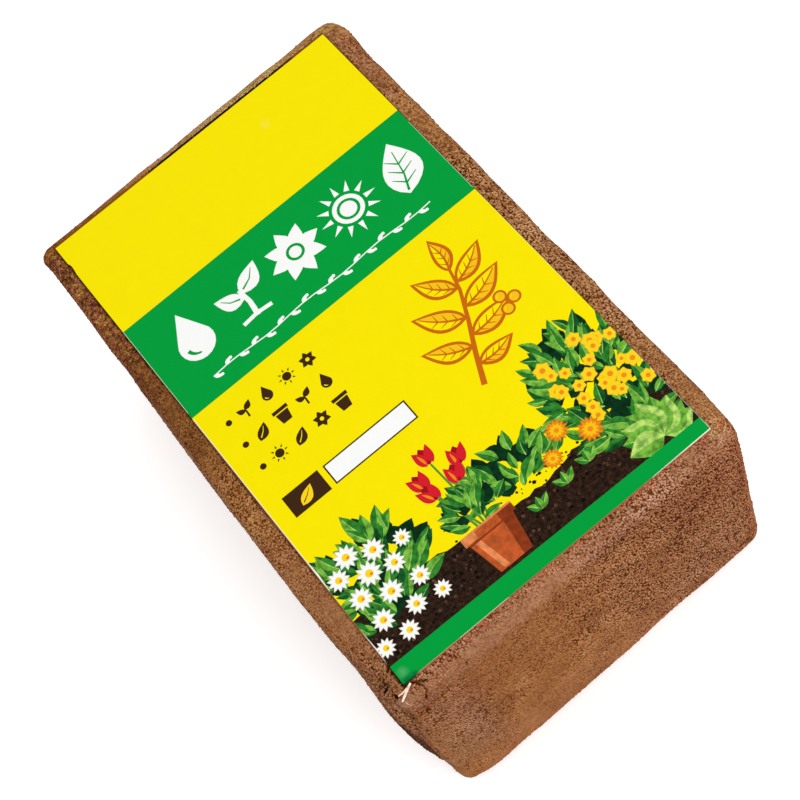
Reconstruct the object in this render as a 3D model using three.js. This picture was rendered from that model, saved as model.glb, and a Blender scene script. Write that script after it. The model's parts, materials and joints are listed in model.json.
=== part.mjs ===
// A garden brick of pressed coconut coir, with a paper label stuck flat on its top face.
// Millimetres, +Z up. The origin is the middle of the underside, and the label's foot is towards -Y.
import * as THREE from "three";
import { mergeVertices } from "three/addons/utils/BufferGeometryUtils.js";

// Driving sizes of the brick
const WIDTH = 100;
const LENGTH = 164;
const HEIGHT = 74;
const FOOT_END_RADIUS = 4;
const FAR_END_RADIUS = 2.8;

// Driving sizes of the label. It lies on the top face, a hair above the coir.
const LABEL_WIDTH = 88;
const LABEL_LENGTH = 154;
const LABEL_THICKNESS = 0.3;
const LABEL_GAP = 0.1;
const LABEL_CENTRE = new THREE.Vector2(0.5, 0.4);

// Mesh steps of the brick: along each flat, and from a flat to the middle of a rounded edge
const STEP = 4.7;
const ARC_STEPS = 2;

// How far the brick strays from a true block
const LEFT_SPREAD = 0.65;
const LEFT_TAPER = 1.0;
const FAR_END_SKEW = 0.015;
const FAR_END_DRAFT = 0.007;
const FOOT_END_SKEW = 0.021;
const FOOT_END_DRAFT = 0.023;
const SIDE_BULGE = 1.0;
const WAVE_HEIGHT = 0.25;
const WAVE_CELL = 24;
const LUMP_HEIGHT = 0.25;
const LUMP_CELL = 9;
const EDGE_WEAR = 0.6;
const EDGE_WEAR_CELL = 8;
const MARGIN_SINK = 0.35;

// Dents where crumbs have broken away, and three swellings with a depth below zero, as
// [x, y, z, reach, depth] from the middle of the brick's base
const DENTS = [
  [50, -80, 74, 5, 0.8],
  [51, -34, 74, 8, 0.5],
  [51, 22, 74, 8, 0.5],
  [-51, 34, 74, 8, 0.6],
  [-51, -72, 76, 14, 0.8],
  [20, -83, 64, 14, 0.6],
  [-51, -81, 8, 26, 1.2],
  [51, 15, 1, 12, 1.6],
  [51, -58, 2, 9, 1.3],
  [-51, -12, 1, 11, 1.5],
  [-50, 81, 2, 10, 2.2],
  [50, 82, 30, 9, 1.6],
  [-18, 82, 1, 12, 1.7],
  [-51, -76, 44, 26, -1.0],
  [-51, 10, 36, 40, -0.6],
  [51, 60, 70, 34, -0.9],
  [52, 84, 76, 12, 1.1],
  [-52, -80, 63, 20, 1.0],
];

// The worn upright edge beside the label's foot: a facet that faces mostly sideways
const WORN_EDGE = {
  through: new THREE.Vector3(-47.5, -81.95, 40),
  facing: new THREE.Vector3(-0.9, -0.43, 0.02).normalize(),
};

// A repeatable number from 0 to 1 for each corner of a lattice
function latticeValue(i, j, k) {
  const wave = Math.sin(i * 127.1 + j * 311.7 + k * 74.7) * 43758.5453;
  return wave - Math.floor(wave);
}

// Smooth noise from -1 to 1 whose lumps are about one cell across
function smoothNoise(point, cell) {
  const at = point.clone().divideScalar(cell);
  const low = at.clone().floor();
  const share = at.clone().sub(low);
  const ease = (t) => t * t * (3 - 2 * t);
  let sum = 0;
  for (const i of [0, 1]) {
    for (const j of [0, 1]) {
      for (const k of [0, 1]) {
        const weightX = i ? ease(share.x) : 1 - ease(share.x);
        const weightY = j ? ease(share.y) : 1 - ease(share.y);
        const weightZ = k ? ease(share.z) : 1 - ease(share.z);
        sum += latticeValue(low.x + i, low.y + j, low.z + k) * weightX * weightY * weightZ;
      }
    }
  }
  return 2 * sum - 1;
}

// Grid positions across one direction: even steps on the flat, and even angles round both edges
function stations(size) {
  const flat = size / 2 - FOOT_END_RADIUS;
  const flatSteps = Math.round((2 * flat) / STEP);
  const arc = [];
  for (let k = 1; k <= ARC_STEPS; k++) {
    arc.push(flat + FOOT_END_RADIUS * Math.tan(((k / ARC_STEPS) * Math.PI) / 4));
  }
  const list = arc.map((v) => -v).reverse();
  for (let i = 0; i <= flatSteps; i++) {
    list.push(-flat + (2 * flat * i) / flatSteps);
  }
  return [...list, ...arc];
}

// 0 under the label, rising to 1 a little way outside it
function outsideLabel(point) {
  const beyondX = Math.abs(point.x - LABEL_CENTRE.x) - LABEL_WIDTH / 2;
  const beyondY = Math.abs(point.y - LABEL_CENTRE.y) - LABEL_LENGTH / 2;
  return THREE.MathUtils.smoothstep(Math.max(beyondX, beyondY), 0.5, 3.5);
}

// How far the surface stands out of the true block at a point that faces outward
function relief(point, outward) {
  if (outward.z < -0.99) {
    return 0;
  }
  const lumps = LUMP_HEIGHT * smoothNoise(point, LUMP_CELL);
  const waves = WAVE_HEIGHT * smoothNoise(point, WAVE_CELL) + lumps;
  if (outward.z > 0.99) {
    return -MARGIN_SINK * outsideLabel(point) * (0.5 + Math.abs(waves));
  }
  const largest = Math.max(Math.abs(outward.x), Math.abs(outward.y), Math.abs(outward.z));
  const onEdge = (1 - largest) / (1 - Math.SQRT1_2);
  const wear = onEdge * EDGE_WEAR * (0.5 + 0.5 * smoothNoise(point, EDGE_WEAR_CELL));
  const alongSide = Math.cos((Math.PI * point.y) / LENGTH);
  const upSide = Math.sin((Math.PI * point.z) / HEIGHT);
  const bulge = SIDE_BULGE * Math.abs(outward.x) * alongSide * upSide;
  return waves + bulge - wear;
}

// Moves a point of the true block to where the skewed, chipped and worn brick has it
function weather(point, outward) {
  const made = point.clone().addScaledVector(outward, relief(point, outward));
  const leftward = Math.max(0, -point.x) / (WIDTH / 2);
  const endward = point.y / (LENGTH / 2);
  made.x += (endward > 0 ? LEFT_TAPER : LEFT_SPREAD) * endward * leftward;
  made.y += (FAR_END_SKEW * point.x - FAR_END_DRAFT * point.z) * Math.max(0, endward);
  const draft = FOOT_END_DRAFT * (HEIGHT - point.z);
  made.y += (FOOT_END_SKEW * point.x + draft) * Math.max(0, -endward);
  const wornAway = made.clone().sub(WORN_EDGE.through).dot(WORN_EDGE.facing);
  made.addScaledVector(WORN_EDGE.facing, -Math.max(0, wornAway));
  for (const [x, y, z, reach, depth] of DENTS) {
    const share = 1 - made.distanceTo(new THREE.Vector3(x, y, z)) / reach;
    made.addScaledVector(outward, -depth * THREE.MathUtils.smoothstep(share, 0, 0.8));
  }
  made.z = outward.z < -0.99 ? 0 : THREE.MathUtils.clamp(made.z, 0, HEIGHT);
  if (outward.z > 0.99 && outsideLabel(point) === 0) {
    made.z = HEIGHT;
  }
  return made;
}

// The pressed block, as one closed skin of small facets
function brickGeometry() {
  const grid = [stations(WIDTH), stations(LENGTH), stations(HEIGHT)];
  const steps = grid.map((list) => list.length - 1);
  const box = new THREE.BoxGeometry(...steps, ...steps);
  box.deleteAttribute("normal");
  box.deleteAttribute("uv");
  const skin = mergeVertices(box);
  const corner = new THREE.Vector3(WIDTH, LENGTH, HEIGHT).multiplyScalar(0.5);
  const positions = skin.getAttribute("position");
  for (let n = 0; n < positions.count; n++) {
    const cell = new THREE.Vector3().fromBufferAttribute(positions, n).toArray();
    const sharp = new THREE.Vector3(...cell.map((v, axis) => grid[axis][Math.round(v + steps[axis] / 2)]));
    const alongLength = sharp.y / LENGTH + 0.5;
    const radius = THREE.MathUtils.lerp(FOOT_END_RADIUS, FAR_END_RADIUS, alongLength);
    const core = corner.clone().subScalar(radius);
    const inner = sharp.clone().clamp(core.clone().negate(), core);
    const outward = sharp.sub(inner).normalize();
    const rounded = inner.addScaledVector(outward, radius);
    rounded.z += HEIGHT / 2;
    const made = weather(rounded, outward);
    positions.setXYZ(n, made.x, made.y, made.z);
  }
  skin.computeVertexNormals();
  return skin;
}

// The label's outline: wider at its far end, with a shallow nick in its left edge
function labelGeometry() {
  const right = LABEL_WIDTH / 2;
  const far = LABEL_LENGTH / 2;
  const nickAt = far - 8.5;
  const outline = new THREE.Shape();
  outline.moveTo(-right + 0.1, -far - 0.2);
  outline.lineTo(right, -far);
  outline.lineTo(right + 0.15, far - 0.1);
  outline.lineTo(-right - 1.1, far - 0.15);
  outline.lineTo(-right - 1.0, nickAt + 2.5);
  outline.quadraticCurveTo(-right - 0.3, nickAt, -right - 0.9, nickAt - 2.5);
  outline.lineTo(-right - 0.35, 0);
  outline.closePath();
  return new THREE.ExtrudeGeometry(outline, { depth: LABEL_THICKNESS, bevelEnabled: false, curveSegments: 6 });
}

const coir = new THREE.MeshStandardMaterial({ color: 0x94623f, roughness: 0.95, metalness: 0 });
const printedPaper = new THREE.MeshStandardMaterial({ color: 0xf4dc10, roughness: 0.45, metalness: 0 });

const block = new THREE.Mesh(brickGeometry(), coir);
block.name = "coir_block";

const label = new THREE.Mesh(labelGeometry(), printedPaper);
label.name = "paper_label";
label.position.set(LABEL_CENTRE.x, LABEL_CENTRE.y, HEIGHT + LABEL_GAP);

// Both pieces move together, so that the brick's base is centred on the origin.
const brick = new THREE.Group();
brick.add(block, label);
block.geometry.computeBoundingBox();
const middle = block.geometry.boundingBox.getCenter(new THREE.Vector3());
brick.position.set(-middle.x, -middle.y, 0);

export default brick;
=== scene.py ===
# %% [markdown]
# # A brick of pressed coconut coir with a printed paper label
#
# Coir is the husk of a coconut, ground to soft brown pith and short fibres. Pressed dry, it makes a hard
# brick with rounded, crumbling edges, and a sheet of coated paper is stuck flat on its largest face.
#
# The brick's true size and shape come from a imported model, which loads first and stays where it is.
# Everything below dresses it: a fine skin for the pressed coir, thousands of loose grains on it, a few pale
# fibres, and the paper with its print. Blender works in metres, and most small sizes here are easier to
# read in millimetres, so `MM` turns one into the other.

import json
import math
import random

import bpy
import numpy as np
from mathutils import Matrix, Vector
from mathutils.geometry import delaunay_2d_cdt

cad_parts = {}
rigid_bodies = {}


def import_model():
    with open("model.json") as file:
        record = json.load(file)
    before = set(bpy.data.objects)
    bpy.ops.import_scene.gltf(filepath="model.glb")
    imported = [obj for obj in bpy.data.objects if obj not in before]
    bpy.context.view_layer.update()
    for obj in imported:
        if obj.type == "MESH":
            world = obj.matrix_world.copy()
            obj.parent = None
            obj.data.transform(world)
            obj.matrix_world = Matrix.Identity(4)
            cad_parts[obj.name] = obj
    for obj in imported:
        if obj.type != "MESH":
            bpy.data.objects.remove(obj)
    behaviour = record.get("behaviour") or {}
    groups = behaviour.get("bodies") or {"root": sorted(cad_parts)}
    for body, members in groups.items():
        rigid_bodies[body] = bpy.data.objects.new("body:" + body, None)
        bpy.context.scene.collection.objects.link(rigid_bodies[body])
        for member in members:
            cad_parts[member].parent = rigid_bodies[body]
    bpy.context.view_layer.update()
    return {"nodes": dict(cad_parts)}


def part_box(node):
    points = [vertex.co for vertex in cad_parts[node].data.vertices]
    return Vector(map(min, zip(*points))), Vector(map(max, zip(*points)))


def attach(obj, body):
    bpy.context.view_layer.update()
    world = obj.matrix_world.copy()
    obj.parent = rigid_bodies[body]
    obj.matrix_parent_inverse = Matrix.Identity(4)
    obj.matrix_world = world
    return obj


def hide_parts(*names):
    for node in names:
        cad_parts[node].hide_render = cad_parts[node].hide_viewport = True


MM = 0.001
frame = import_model()

# %% [markdown]
# ## The camera
#
# The picture looks down at the brick from above its labelled foot, with the camera rolled so that the brick
# lies slantwise. Place, target, roll and lens come from fitting a camera to the label's four corners, which
# are the sharpest points in the picture. The roll is a turn about the camera's own line of sight, so it is
# multiplied on after the camera is aimed.

# %% Place the camera
CAMERA_PLACE = Vector((-27.33, -222.19, 443.2)) * MM
CAMERA_TARGET = Vector((-0.31, -0.91, 37.0)) * MM
CAMERA_ROLL = math.radians(-33.2)
CAMERA_LENS = 81

bpy.ops.object.select_all(action="DESELECT")
bpy.ops.object.camera_add(location=CAMERA_PLACE)
camera = bpy.context.object
camera.name = "camera"
camera.data.lens = CAMERA_LENS
camera.data.clip_start = 10 * MM
aim = (CAMERA_TARGET - CAMERA_PLACE).to_track_quat("-Z", "Y").to_matrix()
camera.rotation_euler = (aim @ Matrix.Rotation(CAMERA_ROLL, 3, "Z")).to_euler()
bpy.context.scene.camera = camera
print("The camera stands", round((CAMERA_TARGET - CAMERA_PLACE).length / MM), "mm from the brick")

# %% [markdown]
# ## Light and floor
#
# The brick lies on a plain white floor in soft studio light. One wide lamp hangs in front of the labelled
# foot and above it, a little to the right, and a second over the top, so that the top and the near end are
# equally bright and the left side falls into shade, as on the real one. A weaker lamp behind keeps the far
# side readable. Wide lamps give the soft edges of shadow. The floor glows a little of itself, so that the
# shade on it stays pale.

# %% Hang the lamps and lay the floor
LAMPS = [
    ("front_lamp", (0.16, -0.68, 0.62), 0.7, 4.0),
    ("top_lamp", (0.15, 0.05, 1.0), 1.2, 3.4),
    ("back_lamp", (-0.1, 0.8, 0.6), 0.6, 1.1),
]
LAMP_TARGET = Vector((0, 0, 0.04))
SKY_LIGHT = 0.74
FLOOR_DROP = 0.1 * MM
FLOOR_GREY = 0.86
FLOOR_GLOW = 0.3

for name, place, size, power in LAMPS:
    bpy.ops.object.select_all(action="DESELECT")
    bpy.ops.object.light_add(type="AREA", location=place)
    lamp = bpy.context.object
    lamp.name = name
    lamp.data.size = size
    lamp.data.energy = power
    lamp.rotation_euler = (LAMP_TARGET - Vector(place)).to_track_quat("-Z", "Y").to_euler()

world = bpy.data.worlds.new("studio")
world.use_nodes = True
sky = world.node_tree.nodes["Background"].inputs
sky["Color"].default_value = (1.0, 1.0, 1.0, 1.0)
sky["Strength"].default_value = SKY_LIGHT
bpy.context.scene.world = world
bpy.context.scene.view_settings.view_transform = "Standard"

bpy.ops.object.select_all(action="DESELECT")
bpy.ops.mesh.primitive_plane_add(size=6, location=(0, 0, -FLOOR_DROP))
floor = bpy.context.object
floor.name = "floor"
paint = bpy.data.materials.new("white floor")
paint.use_nodes = True
coat = paint.node_tree.nodes["Principled BSDF"].inputs
coat["Base Color"].default_value = (FLOOR_GREY, FLOOR_GREY, FLOOR_GREY, 1.0)
coat["Roughness"].default_value = 0.9
coat["Emission Color"].default_value = (1.0, 1.0, 1.0, 1.0)
coat["Emission Strength"].default_value = FLOOR_GLOW
floor.data.materials.append(paint)

# %% [markdown]
# ## The pressed brick: a block at the right size
#
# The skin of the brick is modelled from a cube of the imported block's own size. Its edges are bevelled, and
# straight cuts divide it into even cells of about four millimetres. Only the cells that show are divided
# further, most finely at the labelled end and in the margins beside the label, because a face under the
# label or on the underside would spend triangles where nobody sees them.

# %% Add the cube, bevel it and cut it into cells
EDGE_BEVEL = 3.4 * MM
CELL = 4.3 * MM

block_low, block_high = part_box("coir_block")
label_low, label_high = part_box("paper_label")


def only(piece):
    """Makes one object the selected and active one, so that an operator acts on it alone."""
    bpy.ops.object.select_all(action="DESELECT")
    piece.select_set(True)
    bpy.context.view_layer.objects.active = piece


def finish_with(piece, kind, **settings):
    """Adds a modifier, sets it and applies it."""
    only(piece)
    modifier = piece.modifiers.new(kind.lower(), kind)
    for name, value in settings.items():
        setattr(modifier, name, value)
    bpy.ops.object.modifier_apply(modifier=modifier.name)


bpy.ops.object.select_all(action="DESELECT")
bpy.ops.mesh.primitive_cube_add(size=1, location=(block_low + block_high) / 2, scale=block_high - block_low)
brick = bpy.context.object
brick.name = "coir_brick"
bpy.ops.object.transform_apply(location=True, rotation=True, scale=True)
bpy.ops.object.mode_set(mode="EDIT")
bpy.ops.mesh.select_all(action="SELECT")
bpy.ops.mesh.bevel(offset=EDGE_BEVEL, segments=1, affect="EDGES")
for axis in range(3):
    start, end = block_low[axis] + EDGE_BEVEL, block_high[axis] - EDGE_BEVEL
    cells = round((end - start) / CELL)
    for k in range(1, cells):
        cut = Vector((0, 0, 0))
        cut[axis] = start + (end - start) * k / cells
        facing = Vector((0, 0, 0))
        facing[axis] = 1
        bpy.ops.mesh.select_all(action="SELECT")
        bpy.ops.mesh.bisect(plane_co=cut, plane_no=facing)
bpy.ops.object.mode_set(mode="OBJECT")
print("The cut block has", len(brick.data.polygons), "cells")

# %% [markdown]
# ## The pressed brick: finer cells where it shows
#
# A face is chosen by where its middle lies. All that shows is divided in sixteen first, then the labelled
# end and the top margins in four once more, and last the near left corner, where the real brick has cracks,
# a torn fibre and a hooked pit that need cells of a quarter of a millimetre. The paper is not quite a
# rectangle, so its four corners tell what lies under it.

# %% Divide the cells that show
SHEET_CORNERS = [(-43.9, -77.2), (44.0, -77.0), (44.15, 76.8), (-45.1, 76.75)]
HIDDEN_INSET = 2.5
END_DEPTH = 4.2
RIM_DEPTH = 3.6
UNDERSIDE = 2.0
CRACKED_CORNER = np.array((-44.0, -79.3, 71.0))
CRACKED_REACH = 11.0
TOP = block_high.z / MM

sheet_middle = np.array((label_high.x / MM - SHEET_CORNERS[2][0], label_low.y / MM - SHEET_CORNERS[0][1]))


def vectors(items, name):
    """One vector of each item of a mesh, as the rows of an array."""
    rows = np.empty(3 * len(items))
    items.foreach_get(name, rows)
    return rows.reshape(-1, 3)


def face_places(piece):
    """The middles of all faces in millimetres, and their normals."""
    return vectors(piece.data.polygons, "center") / MM, vectors(piece.data.polygons, "normal")


def divide_faces(piece, chosen, cuts):
    """Subdivides the chosen faces and leaves the others."""
    only(piece)
    bpy.context.tool_settings.mesh_select_mode = (False, False, True)
    bpy.ops.object.mode_set(mode="EDIT")
    bpy.ops.mesh.select_all(action="DESELECT")
    bpy.ops.object.mode_set(mode="OBJECT")
    piece.data.polygons.foreach_set("select", chosen)
    bpy.ops.object.mode_set(mode="EDIT")
    bpy.ops.mesh.subdivide(number_cuts=cuts)
    bpy.ops.object.mode_set(mode="OBJECT")


def beyond_label(places):
    """How many millimetres a point lies outside the sheet's edge, and less than 0 inside it."""
    beyond = np.full(len(places), -np.inf)
    for start, end in zip(SHEET_CORNERS, SHEET_CORNERS[1:] + SHEET_CORNERS[:1]):
        run = np.subtract(end, start)
        outward = np.array((run[1], -run[0])) / np.hypot(*run)
        beyond = np.maximum(beyond, (places[:, :2] - sheet_middle - start) @ outward)
    return beyond


middles, normals = face_places(brick)
under_label = (middles[:, 2] > TOP - 0.1) & (beyond_label(middles) < -HIDDEN_INSET)
divide_faces(brick, ~under_label & (normals[:, 2] > -0.9), 3)

middles, normals = face_places(brick)
near_end = (middles[:, 1] < block_low.y / MM + END_DEPTH) & (middles[:, 2] > UNDERSIDE)
top_margin = (middles[:, 2] > TOP - RIM_DEPTH) & (beyond_label(middles) > -HIDDEN_INSET)
divide_faces(brick, near_end | top_margin, 1)

middles, normals = face_places(brick)
at_corner = np.linalg.norm(middles - CRACKED_CORNER, axis=1) < CRACKED_REACH
divide_faces(brick, at_corner & (beyond_label(middles) > -1.0), 1)
print("The divided skin has", len(brick.data.polygons), "faces")

# %% [markdown]
# ## The pressed brick: wrapped on the true shape
#
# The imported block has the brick's skew, bulges and worn edges, in facets a few millimetres wide. A smooth
# copy of it is the form that the fine cells are pulled onto: its loose triangles are merged, paired into
# quads and rounded by two levels of subdivision. Shrinkwrap moves each point of the skin to the nearest
# place on that copy, which is then thrown away. The wrapped places and normals are kept, because every
# later step asks where on the brick a point lies.

# %% Wrap the skin on a smooth copy of the block
only(frame["nodes"]["coir_block"])
bpy.ops.object.duplicate()
form = bpy.context.object
form.name = "form"
bpy.ops.object.mode_set(mode="EDIT")
bpy.ops.mesh.select_all(action="SELECT")
bpy.ops.mesh.remove_doubles(threshold=0.01 * MM)
bpy.ops.mesh.tris_convert_to_quads()
bpy.ops.object.mode_set(mode="OBJECT")
finish_with(form, "SUBSURF", levels=2, render_levels=2)
finish_with(brick, "SHRINKWRAP", target=form, wrap_method="NEAREST_SURFACEPOINT")
bpy.data.objects.remove(form)

wrapped = vectors(brick.data.vertices, "co") / MM
outward = vectors(brick.data.vertex_normals, "vector")
x, y, z = wrapped.T
beyond = beyond_label(wrapped)
print("Wrapped: height", round(z.max(), 2), "mm")

# %% [markdown]
# ## The pressed brick: grain
#
# Pressed pith has no fibres laid in a direction. It is a crust of crumbs: clumps of two or three
# millimetres, grains of about one, and a fine roughness over both. Three Displace modifiers lay these on
# the skin one after another. A vertex group holds them back under the label and on the flat underside, so
# that the paper lies on flat coir and the brick still rests on its true base. Rubbed edges are smoother
# than the faces, and so is the top of each long side.

# %% Roughen the skin
ROUGHNESS = [
    ("clumps", "CLOUDS", 3.4, 0.06), ("crumbs", "VORONOI", 1.1, 0.08), ("grain", "CLOUDS", 0.6, 0.18),
]
EDGE_HOLD = 0.5
GROUP_STEPS = 20


def ease(values, low, high):
    """0 below low, 1 above high, and an easy slope between."""
    share = np.clip((values - low) / (high - low), 0, 1)
    return share * share * (3 - 2 * share)


def clear_of_label(inner, outer):
    """0 under the label, rising to 1 between two distances from its edge, and 1 all over the sides."""
    return np.where(z > TOP - 1.5, ease(beyond, inner, outer), 1.0)


on_edge = ease(1 - np.abs(outward).max(axis=1), 0.01, 0.1)
on_edge = np.maximum(on_edge, ease(z, 64, 69) * (np.abs(outward[:, 0]) > 0.9))
looseness = clear_of_label(-0.6, 0.9) * ease(z, 0.5, 2.5) * (1 - EDGE_HOLD * on_edge)
group = brick.vertex_groups.new(name="loose")
steps = np.round(looseness * GROUP_STEPS).astype(int)
for step in range(1, GROUP_STEPS + 1):
    members = np.nonzero(steps == step)[0].tolist()
    if members:
        group.add(members, step / GROUP_STEPS, "REPLACE")
for name, kind, size, height in ROUGHNESS:
    texture = bpy.data.textures.new(name, kind)
    texture.noise_scale = size * MM
    if kind == "CLOUDS":
        texture.noise_depth = 1
    finish_with(brick, "DISPLACE", texture=texture, texture_coords="LOCAL", strength=height * MM,
                mid_level=0.5, vertex_group="loose")
    bpy.data.textures.remove(texture)
places = vectors(brick.data.vertices, "co") / MM
print("Roughened by up to", round(np.abs(places - wrapped).max(), 2), "mm")

# %% [markdown]
# ## The pressed brick: cracks and pits
#
# A few marks are this brick's own. A crack runs from the label's foot over the near left corner and down
# the end, a hooked pit lies beside it, crumbs are torn out along the label's left edge, and the worn
# upright edge is grooved. Each is a line of points with a half width and a depth. The line is first moved
# to the nearest points of the skin, so that it can't float over it, and the skin near the line is pushed
# in, deepest in its middle. Along the paper's left edge runs a shallow furrow, where the coir has sunk
# beside the paste.

# %% Carve the cracks, the pits and the furrow
MARKS = [
    # the crack over the near left corner, with its branches
    ([(-41.6, -77, 73.7), (-40.2, -77.6, 73.7), (-39.1, -78.5, 73.8), (-38.4, -78.8, 73.8)], 0.3, 0.7),
    ([(-40.6, -77.8, 73.7), (-40, -79.1, 73.6), (-40, -80.2, 73), (-41, -81.2, 71.9), (-42.6, -81.8, 67.1),
      (-43.1, -81.7, 64.5)], 0.3, 0.7),
    ([(-41, -81.2, 71.9), (-42.6, -81.8, 67.1), (-43.1, -81.7, 64.5)], 0.42, 0.6),
    ([(-43.9, -76.9, 73.5), (-41.2, -76.9, 73.7)], 0.42, 0.6),
    # the hooked pit and the torn places along the label's left edge
    ([(-46.7, -74.9, 72.7), (-46.7, -75.7, 72.8), (-46.4, -76.3, 72.8), (-46.3, -76.9, 72.8)], 0.5, 1.2),
    ([(-43.6, -70.6, 73.5), (-44.1, -71.1, 73.5)], 0.5, 0.9),
    ([(-43.5, -71.9, 73.4), (-43.9, -72.2, 73.4)], 0.45, 0.9),
    ([(-43.4, -72.6, 73.5), (-43.4, -74.2, 73.5), (-43.5, -76.4, 73.6)], 0.4, 0.6),
    # the grooves of the worn upright edge
    ([(-47.8, -77.3, 64), (-47.8, -78.4, 59.4), (-47.8, -79.9, 53.9), (-47.9, -81.3, 48), (-48, -81.7, 41.7)],
     0.5, 0.4),
    ([(-48.3, -77, 68), (-48, -78, 65)], 0.4, 0.4),
    ([(-48, -81.7, 41.7), (-47.7, -82.2, 37.5), (-47.7, -81.4, 28.2)], 0.45, 0.35),
    # a hairline beside the label's foot, one across the far edge, and a chip at the near right corner
    ([(-31.2, -77.7, 74), (-30.5, -79.1, 73.6), (-29.7, -81.1, 72.1)], 0.35, 0.5),
    ([(-2.5, 78.7, 74), (-2.1, 79.6, 73.8), (-1.9, 80.6, 73.2)], 0.4, 0.5),
    ([(49.7, -78.1, 70.4), (49.8, -78.2, 69.2)], 0.8, 0.7),
]
FURROW_REACH = 0.6
FURROW_DEPTH = 0.34


def distance_to_line(places, line):
    """The distance of each place from a line of points."""
    nearest = np.full(len(places), np.inf)
    for start, end in zip(np.array(line[:-1]), np.array(line[1:])):
        run = end - start
        share = np.clip((places - start) @ run / (run @ run), 0, 1)
        nearest = np.minimum(nearest, np.linalg.norm(places - start - share[:, None] * run, axis=1))
    return nearest


def press_in(depths):
    """Moves every point of the skin inward by its own depth."""
    np.subtract(places, depths[:, None] * outward, out=places)


for line, half_width, depth in MARKS:
    on_skin = [wrapped[np.argmin(np.linalg.norm(wrapped - point, axis=1))] for point in line]
    press_in(depth * ease(1 - distance_to_line(wrapped, on_skin) / half_width, 0.0, 0.9))
u, v = (wrapped[:, :2] - sheet_middle).T
along_edge = np.maximum(ease(-u, 42.5, 43.5), ease(u, 43, 44) * ease(v, 38, 44) * 0.7)
near_sheet = (z > TOP - 1.5) & (beyond > -1.5)
press_in(FURROW_DEPTH * along_edge * near_sheet * ease(FURROW_REACH - beyond, 0.0, 0.4))
relief = ((places - wrapped) * outward).sum(axis=1)
print("Relief from", round(relief.min(), 2), "to", round(relief.max(), 2), "mm")

# %% [markdown]
# ## The pressed brick: the outline
#
# How far each point has moved in or out so far is kept as the attribute `relief`, because the finish
# darkens hollows and pales the tops. What comes now changes the form and not the finish. A flake has gone
# from the worn upright edge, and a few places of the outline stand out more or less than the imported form,
# each given as a spot, the reach of its swell and how far it is pushed out.

# %% Take off the flake and trim the outline
FLAKE_DEPTH = 0.35
TRIMS = [
    # the top rim of the right side, and of the far end
    (49.2, 66, 73.8, 8, -0.4), (49.2, 54, 73.8, 15, -0.65), (49.2, 23.5, 72.5, 11, 0.65),
    (49.1, -31, 72.5, 9, 0.3), (48.9, -9, 73, 9, -0.3), (48.8, -73, 73, 10, -0.5),
    (49.6, 66.5, 73.7, 7, -0.8), (48.9, -33, 73, 7, -0.3), (49.8, 23, 72, 8, -0.1),
    (49.6, 76.5, 73.3, 5, 0.45),
    (35.4, 79.8, 74, 10, -0.3), (-12, 79.8, 73.5, 9, 0.3), (10, 81.5, 72, 9, 0.3),
    (-50.2, 80.8, 71, 5.5, 0.6),
    # the top rim of the left side, and the worn upright edge
    (-48.7, -63, 72.3, 15, -0.6), (-48.7, 3, 72.5, 17, -0.6), (-49.5, -43, 72, 8, 0.25),
    (-48.6, -69, 72, 12, -0.4), (-49, 18.4, 72.2, 8, -0.4), (-49.2, 50, 72.2, 12, 0.2),
    (-49.1, 30, 72.2, 6, 0.25),
    (-49.2, -75, 64, 16, -0.45), (-49.2, -67, 69, 16, -0.9), (-49.8, -67, 58, 16, -0.6),
    (-48.2, -81.4, 36.5, 7, 0.4),
    # the bottom edge of the near end
    (-38.5, -80, 4, 13, 0.85), (18.4, -79.9, 6, 14, -0.4), (-46.8, -80, 5, 6, -0.4),
    (-32, -80.4, 4, 7, -0.35),
]

flaked = ease(-x, 48.4, 48.8) * ease(-y, 68, 72) * ease(z, 19, 24) * ease(-z, -53, -49)
press_in(FLAKE_DEPTH * flaked)
for *spot, reach, push in TRIMS:
    swell = ease(1 - np.linalg.norm(wrapped - spot, axis=1) / reach, 0.0, 0.8)
    press_in(-push * (swell * ease(beyond, 1.0, 3.5) * ease(z, 0.3, 2.5)))
brick.data.vertices.foreach_set("co", (places * MM).ravel())
brick.data.update()
brick.data.attributes.new("relief", "FLOAT", "POINT").data.foreach_set("value", relief)
only(brick)
bpy.ops.object.shade_smooth()
print("Trimmed at", len(TRIMS), "places, and flaked at", int((flaked > 0).sum()), "points")

# %% [markdown]
# ## Loose grains: where they lie
#
# Up close, the skin of a coir brick is thousands of separate grains of pith, pressed together and half sunk
# in. They are what breaks up the outline and gives the surface its salt and pepper look. Modelled by hand
# they would never end, so a few shapes are made once and scattered. First each side of the brick gets an
# attribute that says where grains may lie: nowhere under the label, in the cracks or on the underside, few
# on rubbed edges, and each point on one side only.

# %% Mark where grains may lie
EDGE_RUB = 0.85
SIDES = {"top": (2, 1), "near_end": (1, -1), "far_end": (1, 1), "left_side": (0, -1), "right_side": (0, 1)}

open_skin = clear_of_label(0.35, 0.7) * ease(z, 0.6, 1.6)
open_skin = open_skin * ease(relief, -0.34, -0.2) * (1 - EDGE_RUB * on_edge)
strongest = np.argmax(np.abs(outward), axis=1)
for side, (axis, sign) in SIDES.items():
    members = (strongest == axis) & (outward[:, axis] * sign > 0)
    brick.data.attributes.new(side, "FLOAT", "POINT").data.foreach_set("value", open_skin * members)
    print("Points on the", side, int(members.sum()))

# %% [markdown]
# ## Loose grains: their shapes
#
# A grain is a small chip of a dozen triangles, because it is repeated thousands of times. Each of six
# starts as a cube, which Randomize pushes out of shape with its own seed, and is flattened, since pressing
# lays grains on their broad side.

# %% Model six grains
GRAIN_SHAPES = 6
GRAIN_SINK = 0.21

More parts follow.
